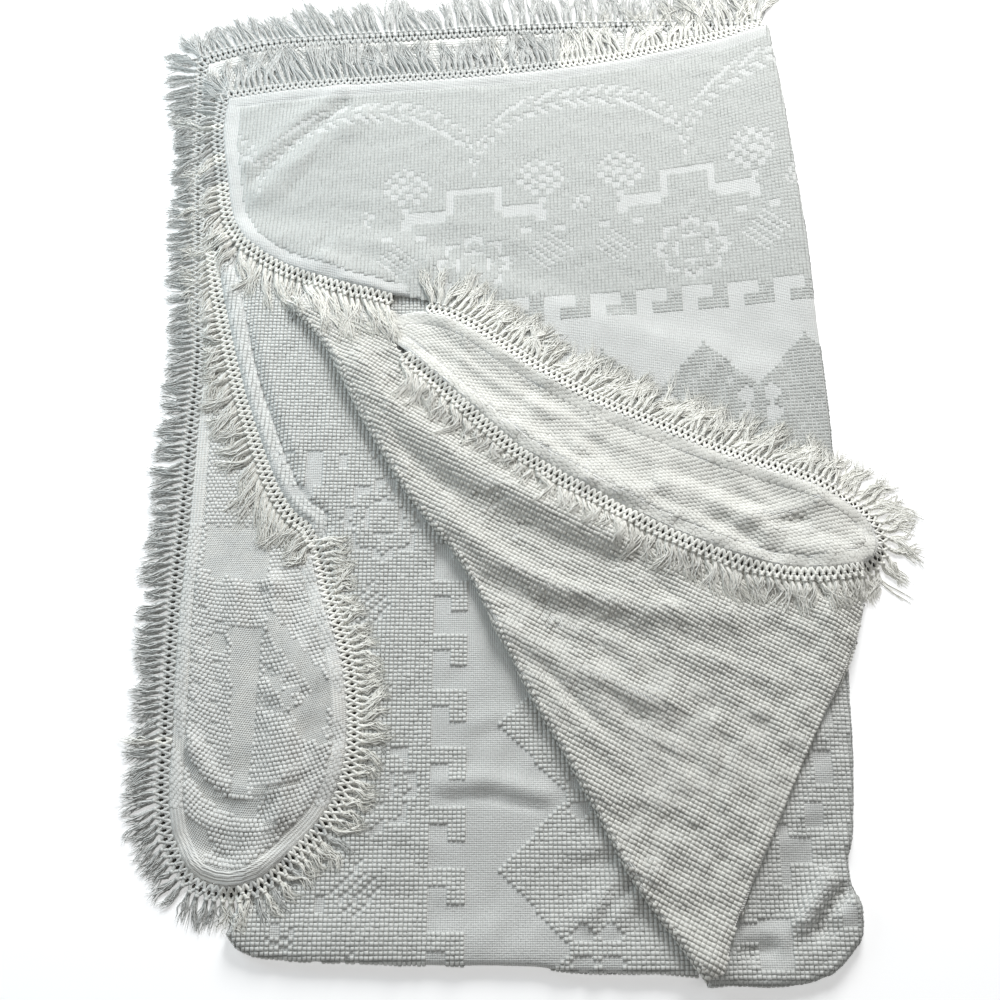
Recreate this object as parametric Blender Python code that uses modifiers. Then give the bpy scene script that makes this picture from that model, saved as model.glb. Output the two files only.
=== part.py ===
"""Chenille bedspread, folded in half and laid down in a loose stack.

The spread is one open surface in its folded shape, thickened to cloth. Its
bottom layer turns over at the right side and at the foot. The foot corners lie
on top as two narrow tongues, and one diagonal flap is turned back. A knotted
fringe runs along each edge that shows, as a comb of header and tassels.

Metres, +Z up. X runs across the stack, and Y from its foot to its head.
"""

import math

import bmesh
import bpy
from mathutils import Matrix, Vector
from mathutils.bvhtree import BVHTree

CLOTH = 0.003
LAYER_PITCH = 0.0066
SOFT_RAMP = 0.055
TUCK_RAMP = 0.060
TONGUE_RAMP = 0.045
BAND_RAMP = 0.120
TONGUE_RISE = 0.10
BAND_RISE = 0.065
BAND_MOUTH_HALF = 0.022
LIP_DROP = 0.0062
HEM_DROP = 0.0022
HEM_DROP_WIDTH = 0.05

HEADER = 0.026
END_FLARE = 0.50
FRINGE_THICK = 0.0022
FRINGE_GAP = 0.0014
FRINGE_CLEARANCE = 0.0012
TOOTH_GAP = 0.006
LONGEST_TOOTH = 0.070
EDGE_SLACK = 0.0006
SETTLE_ROUNDS = 6

WELD = 0.00005
FOLD_STEPS = 3

# Edge curves of the layers, as (x, y) stations. Under and over are the bottom
# and top layers, the middle layer shows at the left of the flap, the lining lies
# under the flap, and the band is the tongue on the right.
HEAD_UNDER = [(-0.545, 1.510), (-0.470, 1.535), (-0.385, 1.550), (-0.170, 1.565),
              (0.040, 1.580), (0.270, 1.588), (0.497, 1.592)]
HEAD_OVER = [(-0.497, 1.425), (-0.366, 1.447), (-0.184, 1.463), (0.000, 1.480),
             (0.185, 1.507), (0.373, 1.552), (0.497, 1.592)]
SIDE_UPPER = [(-0.545, 1.510), (-0.528, 1.275), (-0.510, 1.085), (-0.494, 0.905),
              (-0.492, 0.765), (-0.490, 0.600)]
SIDE_LOWER = [(-0.490, 0.600), (-0.490, 0.470), (-0.483, 0.285), (-0.478, 0.190),
              (-0.466, 0.130)]
SPLIT_LEFT = [(-0.490, 0.600), (-0.310, 0.600)]
SPLIT_RIGHT = [(-0.310, 0.600), (0.100, 0.575), (0.532, 0.545)]
RIGHT_UPPER = [(0.497, 1.592), (0.510, 1.425), (0.520, 1.235), (0.525, 1.110),
               (0.525, 0.975), (0.528, 0.800), (0.526, 0.700), (0.532, 0.545)]
RIGHT_LOWER = [(0.532, 0.545), (0.520, 0.445), (0.510, 0.365), (0.506, 0.255),
               (0.495, 0.150), (0.482, 0.085), (0.494, 0.012), (0.474, -0.022),
               (0.448, -0.044)]
FOOT_LEFT = [(-0.370, 0.005), (-0.325, -0.022), (-0.136, -0.031), (0.041, -0.033),
             (0.100, -0.041), (0.220, -0.042), (0.268, -0.046)]
FOOT_RIGHT = [(0.281, -0.056), (0.357, -0.059), (0.410, -0.056), (0.448, -0.044)]
SLIT = [(-0.310, 0.600), (-0.286, 0.560), (-0.262, 0.500), (-0.285, 0.400),
        (-0.320, 0.250), (-0.345, 0.120), (-0.370, 0.005)]

TONGUE_END = [(-0.466, 0.130), (-0.431, 0.076), (-0.378, 0.060), (-0.331, 0.074),
              (-0.285, 0.118)]
TONGUE_RIGHT = [(-0.310, 0.600), (-0.293, 0.560), (-0.272, 0.488), (-0.249, 0.425),
                (-0.234, 0.376), (-0.224, 0.318), (-0.221, 0.255), (-0.232, 0.195),
                (-0.255, 0.150), (-0.285, 0.118)]

MIDDLE_HEM = [(-0.492, 1.130), (-0.480, 1.055), (-0.448, 0.930), (-0.420, 0.835),
              (-0.390, 0.753), (-0.358, 0.675), (-0.327, 0.624), (-0.298, 0.600)]
MIDDLE_HIDDEN = [(-0.298, 0.600), (-0.276, 0.560), (-0.256, 0.500), (-0.285, 0.400),
                 (-0.320, 0.250), (-0.345, 0.120), (-0.370, 0.005)]
MIDDLE_TOP = [(-0.492, 1.130), (-0.200, 1.100), (0.100, 0.980), (0.430, 0.860)]
MIDDLE_RIGHT = [(0.430, 0.860), (0.480, 0.700), (0.492, 0.500), (0.480, 0.350),
                (0.448, 0.220), (0.385, 0.110), (0.315, 0.030), (0.268, -0.046)]

TOP_LEFT = [(-0.497, 1.425), (-0.500, 1.350), (-0.486, 1.265), (-0.468, 1.175),
            (-0.440, 1.120)]
TOP_ARC = [(-0.440, 1.120), (-0.394, 1.083), (-0.341, 1.055), (-0.263, 1.027),
           (-0.180, 1.006)]
TOP_FOOT = [(-0.180, 1.006), (-0.130, 1.000), (-0.085, 0.976), (-0.022, 0.905),
            (0.060, 0.825), (0.170, 0.755), (0.270, 0.705), (0.370, 0.660),
            (0.470, 0.615), (0.532, 0.545)]

DIAGONAL = [(-0.345, 0.985), (-0.272, 0.895), (-0.212, 0.773), (-0.139, 0.647),
            (-0.069, 0.557), (-0.019, 0.470), (0.049, 0.333), (0.104, 0.236),
            (0.157, 0.134), (0.196, 0.062), (0.250, -0.010), (0.281, -0.056)]
FLAP_RIGHT = [(0.545, 0.553), (0.550, 0.480), (0.532, 0.415), (0.511, 0.372), (0.455, 0.276),
              (0.397, 0.164), (0.344, 0.062), (0.315, -0.005), (0.303, -0.048)]
FLAP_FOOT = [(0.281, -0.056), (0.303, -0.048)]
FLAP_NECK = [(-0.345, 0.985), (-0.270, 0.955), (-0.192, 0.931)]
FLAP_TOP = [(-0.192, 0.931), (-0.130, 0.858), (-0.055, 0.800), (0.040, 0.755),
            (0.150, 0.690), (0.250, 0.650), (0.350, 0.615), (0.460, 0.580),
            (0.545, 0.553)]
LINING_TOP = [(-0.345, 0.985), (-0.200, 0.915), (-0.130, 0.845), (-0.055, 0.785),
              (0.040, 0.740), (0.150, 0.675), (0.350, 0.590), (0.532, 0.545)]

NECK_TOP = [(-0.300, 1.050), (-0.238, 1.020), (-0.172, 0.970)]
BAND_UPPER = [(-0.172, 0.970), (-0.130, 0.974), (-0.085, 0.962), (-0.040, 0.935),
              (0.033, 0.880), (0.121, 0.823), (0.167, 0.796), (0.264, 0.753),
              (0.364, 0.708), (0.480, 0.665), (0.545, 0.632)]
BAND_END = [(0.545, 0.632), (0.575, 0.606), (0.587, 0.575), (0.581, 0.550),
            (0.560, 0.532)]
BAND_LOWER = [(-0.192, 0.931), (-0.122, 0.868), (-0.050, 0.798), (0.008, 0.743),
              (0.052, 0.707), (0.156, 0.644), (0.238, 0.597), (0.319, 0.558),
              (0.410, 0.526), (0.500, 0.519), (0.560, 0.532)]

BAND_ROOT = Vector((-0.182, 0.9505))

# The part of the flap and neck that the top layer's hem lies on.
TUCKED = [(-0.360, 0.960), (-0.345, 0.950), (-0.205, 0.980), (-0.215, 1.012),
          (-0.240, 1.030), (-0.300, 1.060), (-0.360, 0.960)]

# How far each run of fringe reaches past its hem: share along the run, reach.
REACH = {
    "under": [(0.00, 0.106), (0.28, 0.100), (0.33, 0.076), (0.37, 0.068), (0.70, 0.066),
              (0.78, 0.066), (0.81, 0.072), (1.00, 0.068)],
    "over": [(0.00, 0.112), (0.56, 0.110), (0.63, 0.084), (0.80, 0.086), (1.00, 0.098)],
    "middle": [(0.00, 0.062), (1.00, 0.074)],
    "band": [(0.00, 0.096), (0.40, 0.090), (0.47, 0.074), (0.54, 0.070), (0.62, 0.078),
             (1.00, 0.078)],
}

# Ridges and troughs of each layer: start x, y, end x, y, half width, lift.
RELIEF = {
    "middle": [
        (-0.370, 0.000, 0.280, -0.040, 0.045, 0.0070),
        (-0.460, 1.050, -0.300, 0.640, 0.016, 0.0030),
        (-0.400, 1.000, -0.230, 0.600, 0.060, 0.0030),
        (-0.055, 0.185, 0.060, 0.175, 0.022, 0.0040),
        (-0.020, 0.275, 0.040, 0.300, 0.022, 0.0025),
        (0.150, 0.020, 0.225, 0.090, 0.022, 0.0070),
        (0.080, 0.010, 0.150, 0.050, 0.025, 0.0040),
    ],
    "lining": [
        (0.300, -0.050, 0.450, -0.045, 0.045, 0.0060),
        (0.515, 0.550, 0.490, 0.020, 0.060, 0.0060),
        (0.400, 0.060, 0.470, 0.010, 0.022, 0.0050),
    ],
    "flap": [
        (-0.330, 0.960, 0.270, -0.040, 0.030, 0.0030),
        (0.545, 0.530, 0.300, -0.040, 0.050, 0.0050),
        (-0.235, 0.880, 0.130, 0.540, 0.045, 0.0060),
        (-0.010, 0.500, 0.250, 0.300, 0.050, 0.0045),
    ],
    "top": [
        (0.490, 1.590, 0.515, 0.550, 0.060, 0.0060),
        (-0.460, 1.230, -0.250, 1.400, 0.026, 0.0065),
        (-0.400, 1.190, -0.280, 1.340, 0.024, 0.0045),
        (-0.420, 1.120, -0.220, 1.040, 0.024, 0.0025),
    ],
    "band": [
        (-0.100, 0.950, 0.500, 0.640, 0.018, 0.0050),
        (-0.100, 0.870, 0.500, 0.550, 0.018, 0.0045),
        (0.530, 0.600, 0.535, 0.545, 0.050, 0.0030),
    ],
    "tongue": [
        (-0.470, 0.560, -0.460, 0.150, 0.018, 0.0040),
        (-0.240, 0.400, -0.240, 0.180, 0.018, 0.0050),
        (-0.440, 0.095, -0.300, 0.110, 0.022, 0.0060),
        (-0.345, 0.480, -0.330, 0.180, 0.026, 0.0080),
        (-0.300, 0.450, -0.260, 0.330, 0.020, 0.0050),
    ],
}

COTTON = (0.780, 0.775, 0.745, 1.0)
FRINGE_COTTON = (0.800, 0.790, 0.755, 1.0)


def ease(x):
    """0 below 0, 1 above 1, and smooth between."""
    x = min(1.0, max(0.0, x))
    return x * x * (3.0 - 2.0 * x)


def smooth_line(stations, steps=12):
    """A dense smooth line through the stations."""
    p = [Vector(s) for s in stations]
    if len(p) == 2:
        return [p[0].lerp(p[1], k / steps) for k in range(steps + 1)]
    line = []
    for i in range(len(p) - 1):
        before = p[i - 1] if i else 2 * p[0] - p[1]
        after = p[i + 2] if i + 2 < len(p) else 2 * p[-1] - p[-2]
        for k in range(steps):
            u = k / steps
            bend = (p[i + 1] - before) * u + (2 * before - 5 * p[i] + 4 * p[i + 1] - after) * u * u
            twist = (3 * p[i] - before - 3 * p[i + 1] + after) * u ** 3
            line.append(p[i] + 0.5 * (bend + twist))
    line.append(p[-1])
    return line


def spaced(stations, cells):
    """Points along the smooth line: cells is a count, or a list of shares."""
    line = smooth_line(stations)
    shares = [k / cells for k in range(cells + 1)] if isinstance(cells, int) else cells
    length = [0.0]
    for a, b in zip(line, line[1:]):
        length.append(length[-1] + (b - a).length)
    points, i = [], 0
    for share in shares:
        want = share * length[-1]
        while i < len(line) - 2 and length[i + 1] < want:
            i += 1
        u = (want - length[i]) / max(length[i + 1] - length[i], 1e-9)
        points.append(line[i].lerp(line[i + 1], min(1.0, u)))
    points[0], points[-1] = line[0], line[-1]
    return points


def shares_of(points):
    """Each point's share of the way along its line."""
    total = [0.0]
    for a, b in zip(points, points[1:]):
        total.append(total[-1] + (b - a).length)
    return [x / total[-1] for x in total]


def blend(top, foot, left, right):
    """Rows of points that fill four edge lines (a Coons patch)."""
    across = [(a + b) / 2 for a, b in zip(shares_of(top), shares_of(foot))]
    down = [(a + b) / 2 for a, b in zip(shares_of(left), shares_of(right))]
    rows = []
    for i, t in enumerate(down):
        row = []
        for j, s in enumerate(across):
            ruled = top[j].lerp(foot[j], t) + left[i].lerp(right[i], s)
            corners = top[0].lerp(top[-1], s).lerp(foot[0].lerp(foot[-1], s), t)
            row.append(ruled - corners)
        rows.append(row)
    rows[0], rows[-1] = list(top), list(foot)
    for i in range(len(rows)):
        rows[i][0], rows[i][-1] = left[i], right[i]
    return rows


def to_segment(p, a, b):
    """Distance from p to the segment a-b."""
    d = b - a
    u = max(0.0, min(1.0, (p - a).dot(d) / max(d.dot(d), 1e-12)))
    return (p - a - d * u).length


def inside_by(outline, p):
    """Distance from p to the outline, positive inside it."""
    near, inside = 1e9, False
    for a, b in zip(outline, outline[1:] + outline[:1]):
        near = min(near, to_segment(p, a, b))
        if (a.y > p.y) != (b.y > p.y):
            if p.x < a.x + (p.y - a.y) * (b.x - a.x) / (b.y - a.y):
                inside = not inside
    return near if inside else -near


def outline(*edges):
    """One closed outline from edge tables, in order round the layer."""
    points = []
    for edge in edges:
        points += [Vector(s) for s in edge[:-1]]
    return points


OUTLINES = {
    "middle": outline(MIDDLE_HEM, MIDDLE_HIDDEN, FOOT_LEFT, MIDDLE_RIGHT[::-1], MIDDLE_TOP[::-1]),
    "flap": outline(DIAGONAL, FLAP_FOOT, FLAP_RIGHT[::-1], FLAP_TOP[::-1], FLAP_NECK[::-1]),
    "lining": outline(DIAGONAL, FOOT_RIGHT, RIGHT_LOWER[::-1], LINING_TOP[::-1]),
    "top": outline(TOP_LEFT, TOP_ARC, TOP_FOOT, RIGHT_UPPER[::-1], HEAD_OVER[::-1]),
    "tucked": outline(TUCKED),
    "bed": outline(SIDE_UPPER, SIDE_LOWER, TONGUE_END, FOOT_LEFT, FOOT_RIGHT,
                   RIGHT_LOWER[::-1], RIGHT_UPPER[::-1], HEAD_UNDER[::-1]),
    "tongue": outline(SPLIT_LEFT, TONGUE_RIGHT, TONGUE_END[::-1], SIDE_LOWER[::-1]),
}


def cover(layer, p, ramp=SOFT_RAMP):
    """1 over a layer, easing to 0 one ramp outside its outline."""
    return ease(1.0 + inside_by(OUTLINES[layer], p) / ramp)


def relief(layer, p):
    """Height of the layer's ridges over its even height."""
    total = 0.0
    for x0, y0, x1, y1, width, lift in RELIEF[layer]:
        total += lift * math.exp(-((to_segment(p, Vector((x0, y0)), Vector((x1, y1))) / width) ** 2))
    return total


def bed_height(p):
    return CLOTH / 2


def middle_height(p):
    edge = MIDDLE_HEM + MIDDLE_HIDDEN[1:4]
    near = min(to_segment(p, Vector(a), Vector(b)) for a, b in zip(edge, edge[1:]))
    drop = HEM_DROP * (1.0 - ease(near / HEM_DROP_WIDTH))
    return CLOTH / 2 + LAYER_PITCH - drop + relief("middle", p)


def lining_height(p):
    under = cover("middle", p) * (middle_height(p) - CLOTH / 2)
    return CLOTH / 2 + under + LAYER_PITCH + relief("lining", p)


def flap_height(p):
    under = cover("lining", p) * (lining_height(p) - lining_base(p))
    return lining_base(p) + under + LAYER_PITCH + relief("flap", p)


def lining_base(p):
    return CLOTH / 2 + cover("middle", p) * (middle_height(p) - CLOTH / 2)


def top_height(p):
    height = lining_base(p)
    height += cover("tucked", p, TUCK_RAMP) * (flap_height(p) - height)
    return height + LAYER_PITCH + relief("top", p)


def band_height(p):
    height = lining_base(p)
    height += cover("flap", p, BAND_RAMP) * (flap_height(p) - height)
    height = max(height, lining_base(p) + cover("top", p) * (top_height(p) - lining_base(p)))
    along = max(0.0, (p - BAND_ROOT).length - BAND_MOUTH_HALF)
    free = height + LAYER_PITCH + relief("band", p)
    return flap_height(p) + ease(along / BAND_RISE) * (free - flap_height(p))


def tongue_height(p):
    rise = cover("middle", p, TONGUE_RAMP) * (middle_height(p) - CLOTH / 2 + LAYER_PITCH)
    free = rise + relief("tongue", p)
    return CLOTH / 2 + ease((SPLIT_LEFT[0][1] - p.y) / TONGUE_RISE) * free


def raised(rows, height):
    """The rows with each point at its layer's height."""
    return [[Vector((p.x, p.y, height(p))) for p in row] for row in rows]


def fill(bm, rows, flip=False):
    """Quads between the rows."""
    grid = [[bm.verts.new(p) for p in row] for row in rows]
    for upper, lower in zip(grid, grid[1:]):
        for j in range(len(upper) - 1):
            corners = (lower[j], lower[j + 1], upper[j + 1], upper[j])
            bm.faces.new(corners[::-1] if flip else corners)


def turned(lower, upper, centre):
    """Half-round rows that turn a lower edge over to the one above it."""
    rows = [[] for _ in range(FOLD_STEPS + 1)]
    last = len(lower) - 1
    for j in range(last + 1):
        run = lower[min(j + 1, last)].xy - lower[max(j - 1, 0)].xy
        out = Vector((run.y, -run.x)).normalized()
        if out.dot(lower[j].xy - centre) < 0:
            out.negate()
        middle = (lower[j] + upper[j]) / 2
        radius = (upper[j].z - lower[j].z) / 2
        for k in range(FOLD_STEPS + 1):
            angle = math.pi * (k / FOLD_STEPS - 0.5)
            side = out.to_3d() * radius * math.cos(angle)
            rows[k].append(middle + side + Vector((0, 0, radius * math.sin(angle))))
    rows[0], rows[-1] = list(lower), list(upper)
    return rows


def column(rows, j):
    return [row[j] for row in rows]


STRIP_CELLS = 6
LIP_SHORT = 2
MIDDLE_SHARES = [0.0, 0.03, 0.07, 0.14, 0.26, 0.38, 0.50, 0.62, 0.74, 0.87, 1.0]
LINING_SHARES = [0.0, 0.25, 0.50, 0.65, 0.78, 0.88, 0.95, 1.0]
FLAP_SHARES = [0.0, 0.20, 0.40, 0.58, 0.74, 0.87, 0.95, 1.0]
UPPER_ROWS = 12
LOWER_ROWS = 17
TONGUE_ROWS = 9
BAND_CELLS = 14
ARC_CELLS = 6
TOP_CELLS = 9
MIDDLE_FOOT_SHARE = 0.776
FOOT_SLOT_SHARE = 0.016
STRIP_SHARE = 0.174


def main_shares():
    """Shares across the bed, right of the strip that runs into the tongue."""
    start = MIDDLE_FOOT_SHARE + FOOT_SLOT_SHARE
    left = [MIDDLE_FOOT_SHARE * s for s in MIDDLE_SHARES]
    return left + [start + (1 - start) * s for s in LINING_SHARES]


def bed_layers():
    """The bottom layer: its head part, its foot part and the left tongue."""
    strip = [STRIP_SHARE * k / STRIP_CELLS for k in range(STRIP_CELLS)]
    head = spaced(HEAD_UNDER, strip + [STRIP_SHARE + (1 - STRIP_SHARE) * s for s in main_shares()])
    split_left = spaced(SPLIT_LEFT, STRIP_CELLS)
    split_right = spaced(SPLIT_RIGHT, main_shares())
    side = spaced(SIDE_UPPER, UPPER_ROWS)
    upper = blend(head, split_left + split_right[1:], side, spaced(RIGHT_UPPER, UPPER_ROWS))
    foot = spaced(FOOT_LEFT, MIDDLE_SHARES) + spaced(FOOT_RIGHT, LINING_SHARES)
    slit, right = spaced(SLIT, LOWER_ROWS), spaced(RIGHT_LOWER, LOWER_ROWS)
    lower = blend(split_right, foot, slit, right)
    end, edge = spaced(TONGUE_END, STRIP_CELLS), spaced(TONGUE_RIGHT, TONGUE_ROWS)
    tongue = blend(split_left, end, spaced(SIDE_LOWER, TONGUE_ROWS), edge)
    return raised(upper, bed_height), raised(lower, bed_height), raised(tongue, tongue_height)


def middle_layer():
    left = spaced(MIDDLE_HEM, 9) + spaced(MIDDLE_HIDDEN, 8)[1:]
    right = spaced(MIDDLE_RIGHT, 17)
    top, foot = spaced(MIDDLE_TOP, MIDDLE_SHARES), spaced(FOOT_LEFT, MIDDLE_SHARES)
    return raised(blend(top, foot, left, right), middle_height)


def top_layer():
    left, right = spaced(TOP_LEFT, UPPER_ROWS), spaced(RIGHT_UPPER, UPPER_ROWS)
    foot = spaced(TOP_ARC, ARC_CELLS) + spaced(TOP_FOOT, TOP_CELLS)[1:]
    rows = blend(spaced(HEAD_OVER, shares_of(foot)), foot, left, right)
    return raised(rows, top_height)


def lining_layer():
    left, right = spaced(DIAGONAL, LOWER_ROWS), spaced(RIGHT_LOWER, LOWER_ROWS)
    foot, top = spaced(FOOT_RIGHT, LINING_SHARES), spaced(LINING_TOP, LINING_SHARES)
    return raised(blend(top, foot, left, right), lining_height)


def flap_layer():
    top = spaced(FLAP_NECK, 3) + spaced(FLAP_TOP, FLAP_SHARES)[1:]
    foot = spaced(FLAP_FOOT, shares_of(top))
    left, right = spaced(DIAGONAL, LOWER_ROWS), spaced(FLAP_RIGHT, LOWER_ROWS)
    return raised(blend(top, foot, left, right), flap_height)


def band_layer():
    """The right tongue and the neck that joins it to the flap."""
    end = spaced(BAND_END, 4)
    mouth = spaced([BAND_UPPER[0], BAND_LOWER[0]], 4)
    rows = blend(spaced(BAND_UPPER, BAND_CELLS), spaced(BAND_LOWER, BAND_CELLS), mouth, end)
    left = spaced([NECK_TOP[0], FLAP_NECK[0]], 4)
    neck = blend(spaced(NECK_TOP, 3), spaced(FLAP_NECK, 3), left, mouth)
    return raised(rows, band_height), raised(neck, flap_height)


def lip(rows):
    """The flap's right edge rolled under, clear of the layer below it."""
    edge = column(rows, -1)[:-LIP_SHORT]
    under = [p - Vector((0, 0, LIP_DROP)) for p in edge]
    return turned(under, edge, Vector((0.1, 0.3)))


def add_object(name, bm, colour, roughness, collection):
    mesh = bpy.data.meshes.new(name)
    bm.to_mesh(mesh)
    bm.free()
    material = bpy.data.materials.new(name + "_cotton")
    material.use_nodes = True
    shader = material.node_tree.nodes["Principled BSDF"]
    shader.inputs["Base Color"].default_value = colour
    shader.inputs["Roughness"].default_value = roughness
    mesh.materials.append(material)
    obj = bpy.data.objects.new(name, mesh)
    collection.objects.link(obj)
    return obj


def solidify(obj, thickness):
    shell = obj.modifiers.new("cloth", "SOLIDIFY")
    shell.thickness = thickness
    shell.offset = 0.0
    shell.use_rim = True


def build_spread(collection):
    bm = bmesh.new()
    upper, lower, tongue = bed_layers()
    middle, top, lining = middle_layer(), top_layer(), lining_layer()
    top[-1][-1] = lining[0][-1]
    flap = flap_layer()
    band, neck = band_layer()
    for rows in (upper, lower, tongue, flap, band, neck):
        fill(bm, rows)
    for rows in (middle, top, lining):
        fill(bm, rows, flip=True)
    centre = Vector((0.0, 0.7))
    cells = len(MIDDLE_SHARES)
    below = column(upper, -1) + column(lower, -1)[1:] + lower[-1][-2:cells - 1:-1]
    above = column(top, -1) + column(lining, -1)[1:] + lining[-1][-2::-1]
    fill(bm, turned(below, above, centre))
    fill(bm, turned(lower[-1][:cells], middle[-1], centre), flip=True)
    fill(bm, turned(column(lining, 0), column(flap, 0), Vector((0.5, 0.6))))
    fill(bm, lip(flap))
    bmesh.ops.remove_doubles(bm, verts=bm.verts, dist=WELD)
    bmesh.ops.recalc_face_normals(bm, faces=bm.faces)
    spread = add_object("spread", bm, COTTON, 0.95, collection)
    solidify(spread, CLOTH)
    edges = {
        "under": upper[0][::-1] + column(upper, 0)[1:] + column(tongue, 0)[1:]
        + tongue[-1][1:] + column(tongue, -1)[-2:0:-1],
        "over": top[0][::-1] + column(top, 0)[1:] + top[-1][1:ARC_CELLS + 1],
        "middle": column(middle, 0)[1:10],
        "band": band[0][2:] + column(band, -1)[1:] + band[-1][-2:1:-1],
    }
    return spread, edges


def comb_stations(edge):
    """The edge's own corners, without those that lie on a straight run."""
    kept, i = [edge[0]], 0
    while i < len(edge) - 1:
        j = i + 1
        while j + 1 < len(edge) and (edge[j + 1] - edge[i]).length < LONGEST_TOOTH:
            skipped = edge[i + 1:j + 1]
            if any(to_segment(p, edge[i], edge[j + 1]) > EDGE_SLACK for p in skipped):
                break
            j += 1
        kept.append(edge[j])
        i = j
    return kept


def rest_on(objects):
    """A function that gives the height of whatever lies under a point."""
    graph = bpy.context.evaluated_depsgraph_get()
    trees = [BVHTree.FromObject(obj, graph) for obj in objects]
    down = Vector((0, 0, -1))

    def height(x, y):
        hits = [tree.ray_cast(Vector((x, y, 0.2)), down)[0] for tree in trees]
        return max([0.0] + [hit.z for hit in hits if hit is not None])

    return height


def settle(quads, ground):
    """Lifts the corners of the quads until each lies clear of the ground."""
    shares = [k / 8 for k in range(9)]
    for _ in range(SETTLE_ROUNDS):
        for a, b, c, d in quads:
            for u in shares:
                for v in shares:
                    weights = ((1 - u) * (1 - v), u * (1 - v), u * v, (1 - u) * v)
                    p = sum((w * q.co for w, q in zip(weights, (a, b, c, d))), Vector())
                    lies = ground(p.x, p.y)
                    rise = lies + FRINGE_THICK / 2 + (FRINGE_CLEARANCE if lies else 0.0) - p.z
                    if rise > 0:
                        share = rise / sum(w * w for w in weights)
                        for w, q in zip(weights, (a, b, c, d)):
                            q.co.z += w * share


def reach_at(run, share):
    """How far the run's tassels reach at a share of its length."""
    rows = REACH[run]
    for (s0, r0), (s1, r1) in zip(rows, rows[1:]):
        if share <= s1:
            return r0 + (r1 - r0) * (share - s0) / (s1 - s0)
    return rows[-1][1]


def comb_columns(edge, side, flare):
    """Base point, outward direction, share along, and whether a tassel starts there."""
    stations = comb_stations(edge)
    shares = shares_of(stations)
    last = len(stations) - 1
    normals = []
    for i in range(last + 1):
        run = stations[min(i + 1, last)].xy - stations[max(i - 1, 0)].xy
        normals.append(Vector((run.y, -run.x)).normalized() * side)
    normals[0].rotate(Matrix.Rotation(-flare, 2))
    columns = []
    for i in range(last):
        a, b = stations[i], stations[i + 1]
        gap = TOOTH_GAP / 2 / max((b - a).xy.length, 1e-6)
        for u, tooth in ((gap, True), (1 - gap, False)):
            out = normals[i].lerp(normals[i + 1], u).normalized()
            share = shares[i] + (shares[i + 1] - shares[i]) * u
            columns.append((a.lerp(b, u), out, share, tooth))
        if i < last - 1:
            ahead = (stations[i + 2] - b).xy
            if abs((b - a).xy.angle_signed(ahead)) > 0.12:
                columns.append((b, normals[i + 1], shares[i + 1], False))
    return columns


def comb(run, edge, under, collection, side, flare):
    """A header strip along the edge with one tassel group per stretch."""
    ground = rest_on(under)
    columns = comb_columns(edge, side, flare)
    bm = bmesh.new()
    grid = []
    for base, out, share, _ in columns:
        column_verts = [bm.verts.new(base + out.to_3d() * FRINGE_GAP)]
        for far in (HEADER, reach_at(run, share)):
            at = base + out.to_3d() * far
            at.z = ground(at.x, at.y) + FRINGE_THICK / 2
            column_verts.append(bm.verts.new(at))
        if base.z < CLOTH:
            column_verts[0].co.z = FRINGE_THICK / 2
        grid.append(column_verts)
    quads = []
    for (left, right), (_, _, _, tooth) in zip(zip(grid, grid[1:]), columns):
        quads.append((left[0], left[1], right[1], right[0]))
        if tooth:
            quads.append((left[1], left[2], right[2], right[1]))
    settle(quads, ground)
    for quad in quads:
        bm.faces.new(quad)
    loose = [v for v in bm.verts if not v.link_faces]
    bmesh.ops.delete(bm, geom=loose, context="VERTS")
    bmesh.ops.recalc_face_normals(bm, faces=bm.faces)
    obj = add_object("fringe_" + run, bm, FRINGE_COTTON, 0.9, collection)
    solidify(obj, FRINGE_THICK)
    bpy.context.view_layer.update()
    return obj


def build_fringes(spread, edges, collection):
    below = [spread]
    runs = [("under", 1.0, END_FLARE), ("middle", 1.0, 0.0), ("band", -1.0, 0.0),
            ("over", 1.0, END_FLARE)]
    for run, side, flare in runs:
        below.append(comb(run, edges[run], below, collection, side, flare))
    return below[1:]


def centre_on_origin(objects):
    """Moves the meshes so that the whole stands centred on the origin."""
    low, high = Vector((1e9,) * 3), Vector((-1e9,) * 3)
    graph = bpy.context.evaluated_depsgraph_get()
    for obj in objects:
        shown = obj.evaluated_get(graph).to_mesh()
        for v in shown.vertices:
            low = Vector(map(min, low, v.co))
            high = Vector(map(max, high, v.co))
        obj.evaluated_get(graph).to_mesh_clear()
    shift = Vector((-(low.x + high.x) / 2, -(low.y + high.y) / 2, -low.z))
    for obj in objects:
        for v in obj.data.vertices:
            v.co += shift
        obj.data.update()
    print("shift", [round(x, 5) for x in shift])
    print("size", [round(x, 4) for x in high - low])


def main():
    for obj in list(bpy.data.objects):
        bpy.data.objects.remove(obj, do_unlink=True)
    collection = bpy.data.collections.new("chenille_bedspread")
    bpy.context.scene.collection.children.link(collection)
    spread, edges = build_spread(collection)
    fringes = build_fringes(spread, edges, collection)
    root = bpy.data.objects.new("bedspread", None)
    collection.objects.link(root)
    bpy.context.view_layer.update()
    centre_on_origin([spread] + fringes)
    for obj in [spread] + fringes:
        obj.parent = root


main()
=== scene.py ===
# %% [markdown]
# # A chenille bedspread, folded in a loose stack
#
# The real thing is one large cotton cloth, woven with rows of small raised
# tufts on its face and a flat twill on its reverse, with a knotted fringe along
# its edges. It lies folded in half and in half again, with one flap turned
# back. This script dresses the solids of that stack with cloth, pile and yarn.
#
# Sizes are in metres, except in the tables that say millimetres. X runs across
# the stack, and Y from its foot to its head.

# %% Tools and the frame
import math

import bmesh
import bpy
import numpy as np
from mathutils import Matrix, Vector
from mathutils.bvhtree import BVHTree


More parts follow.
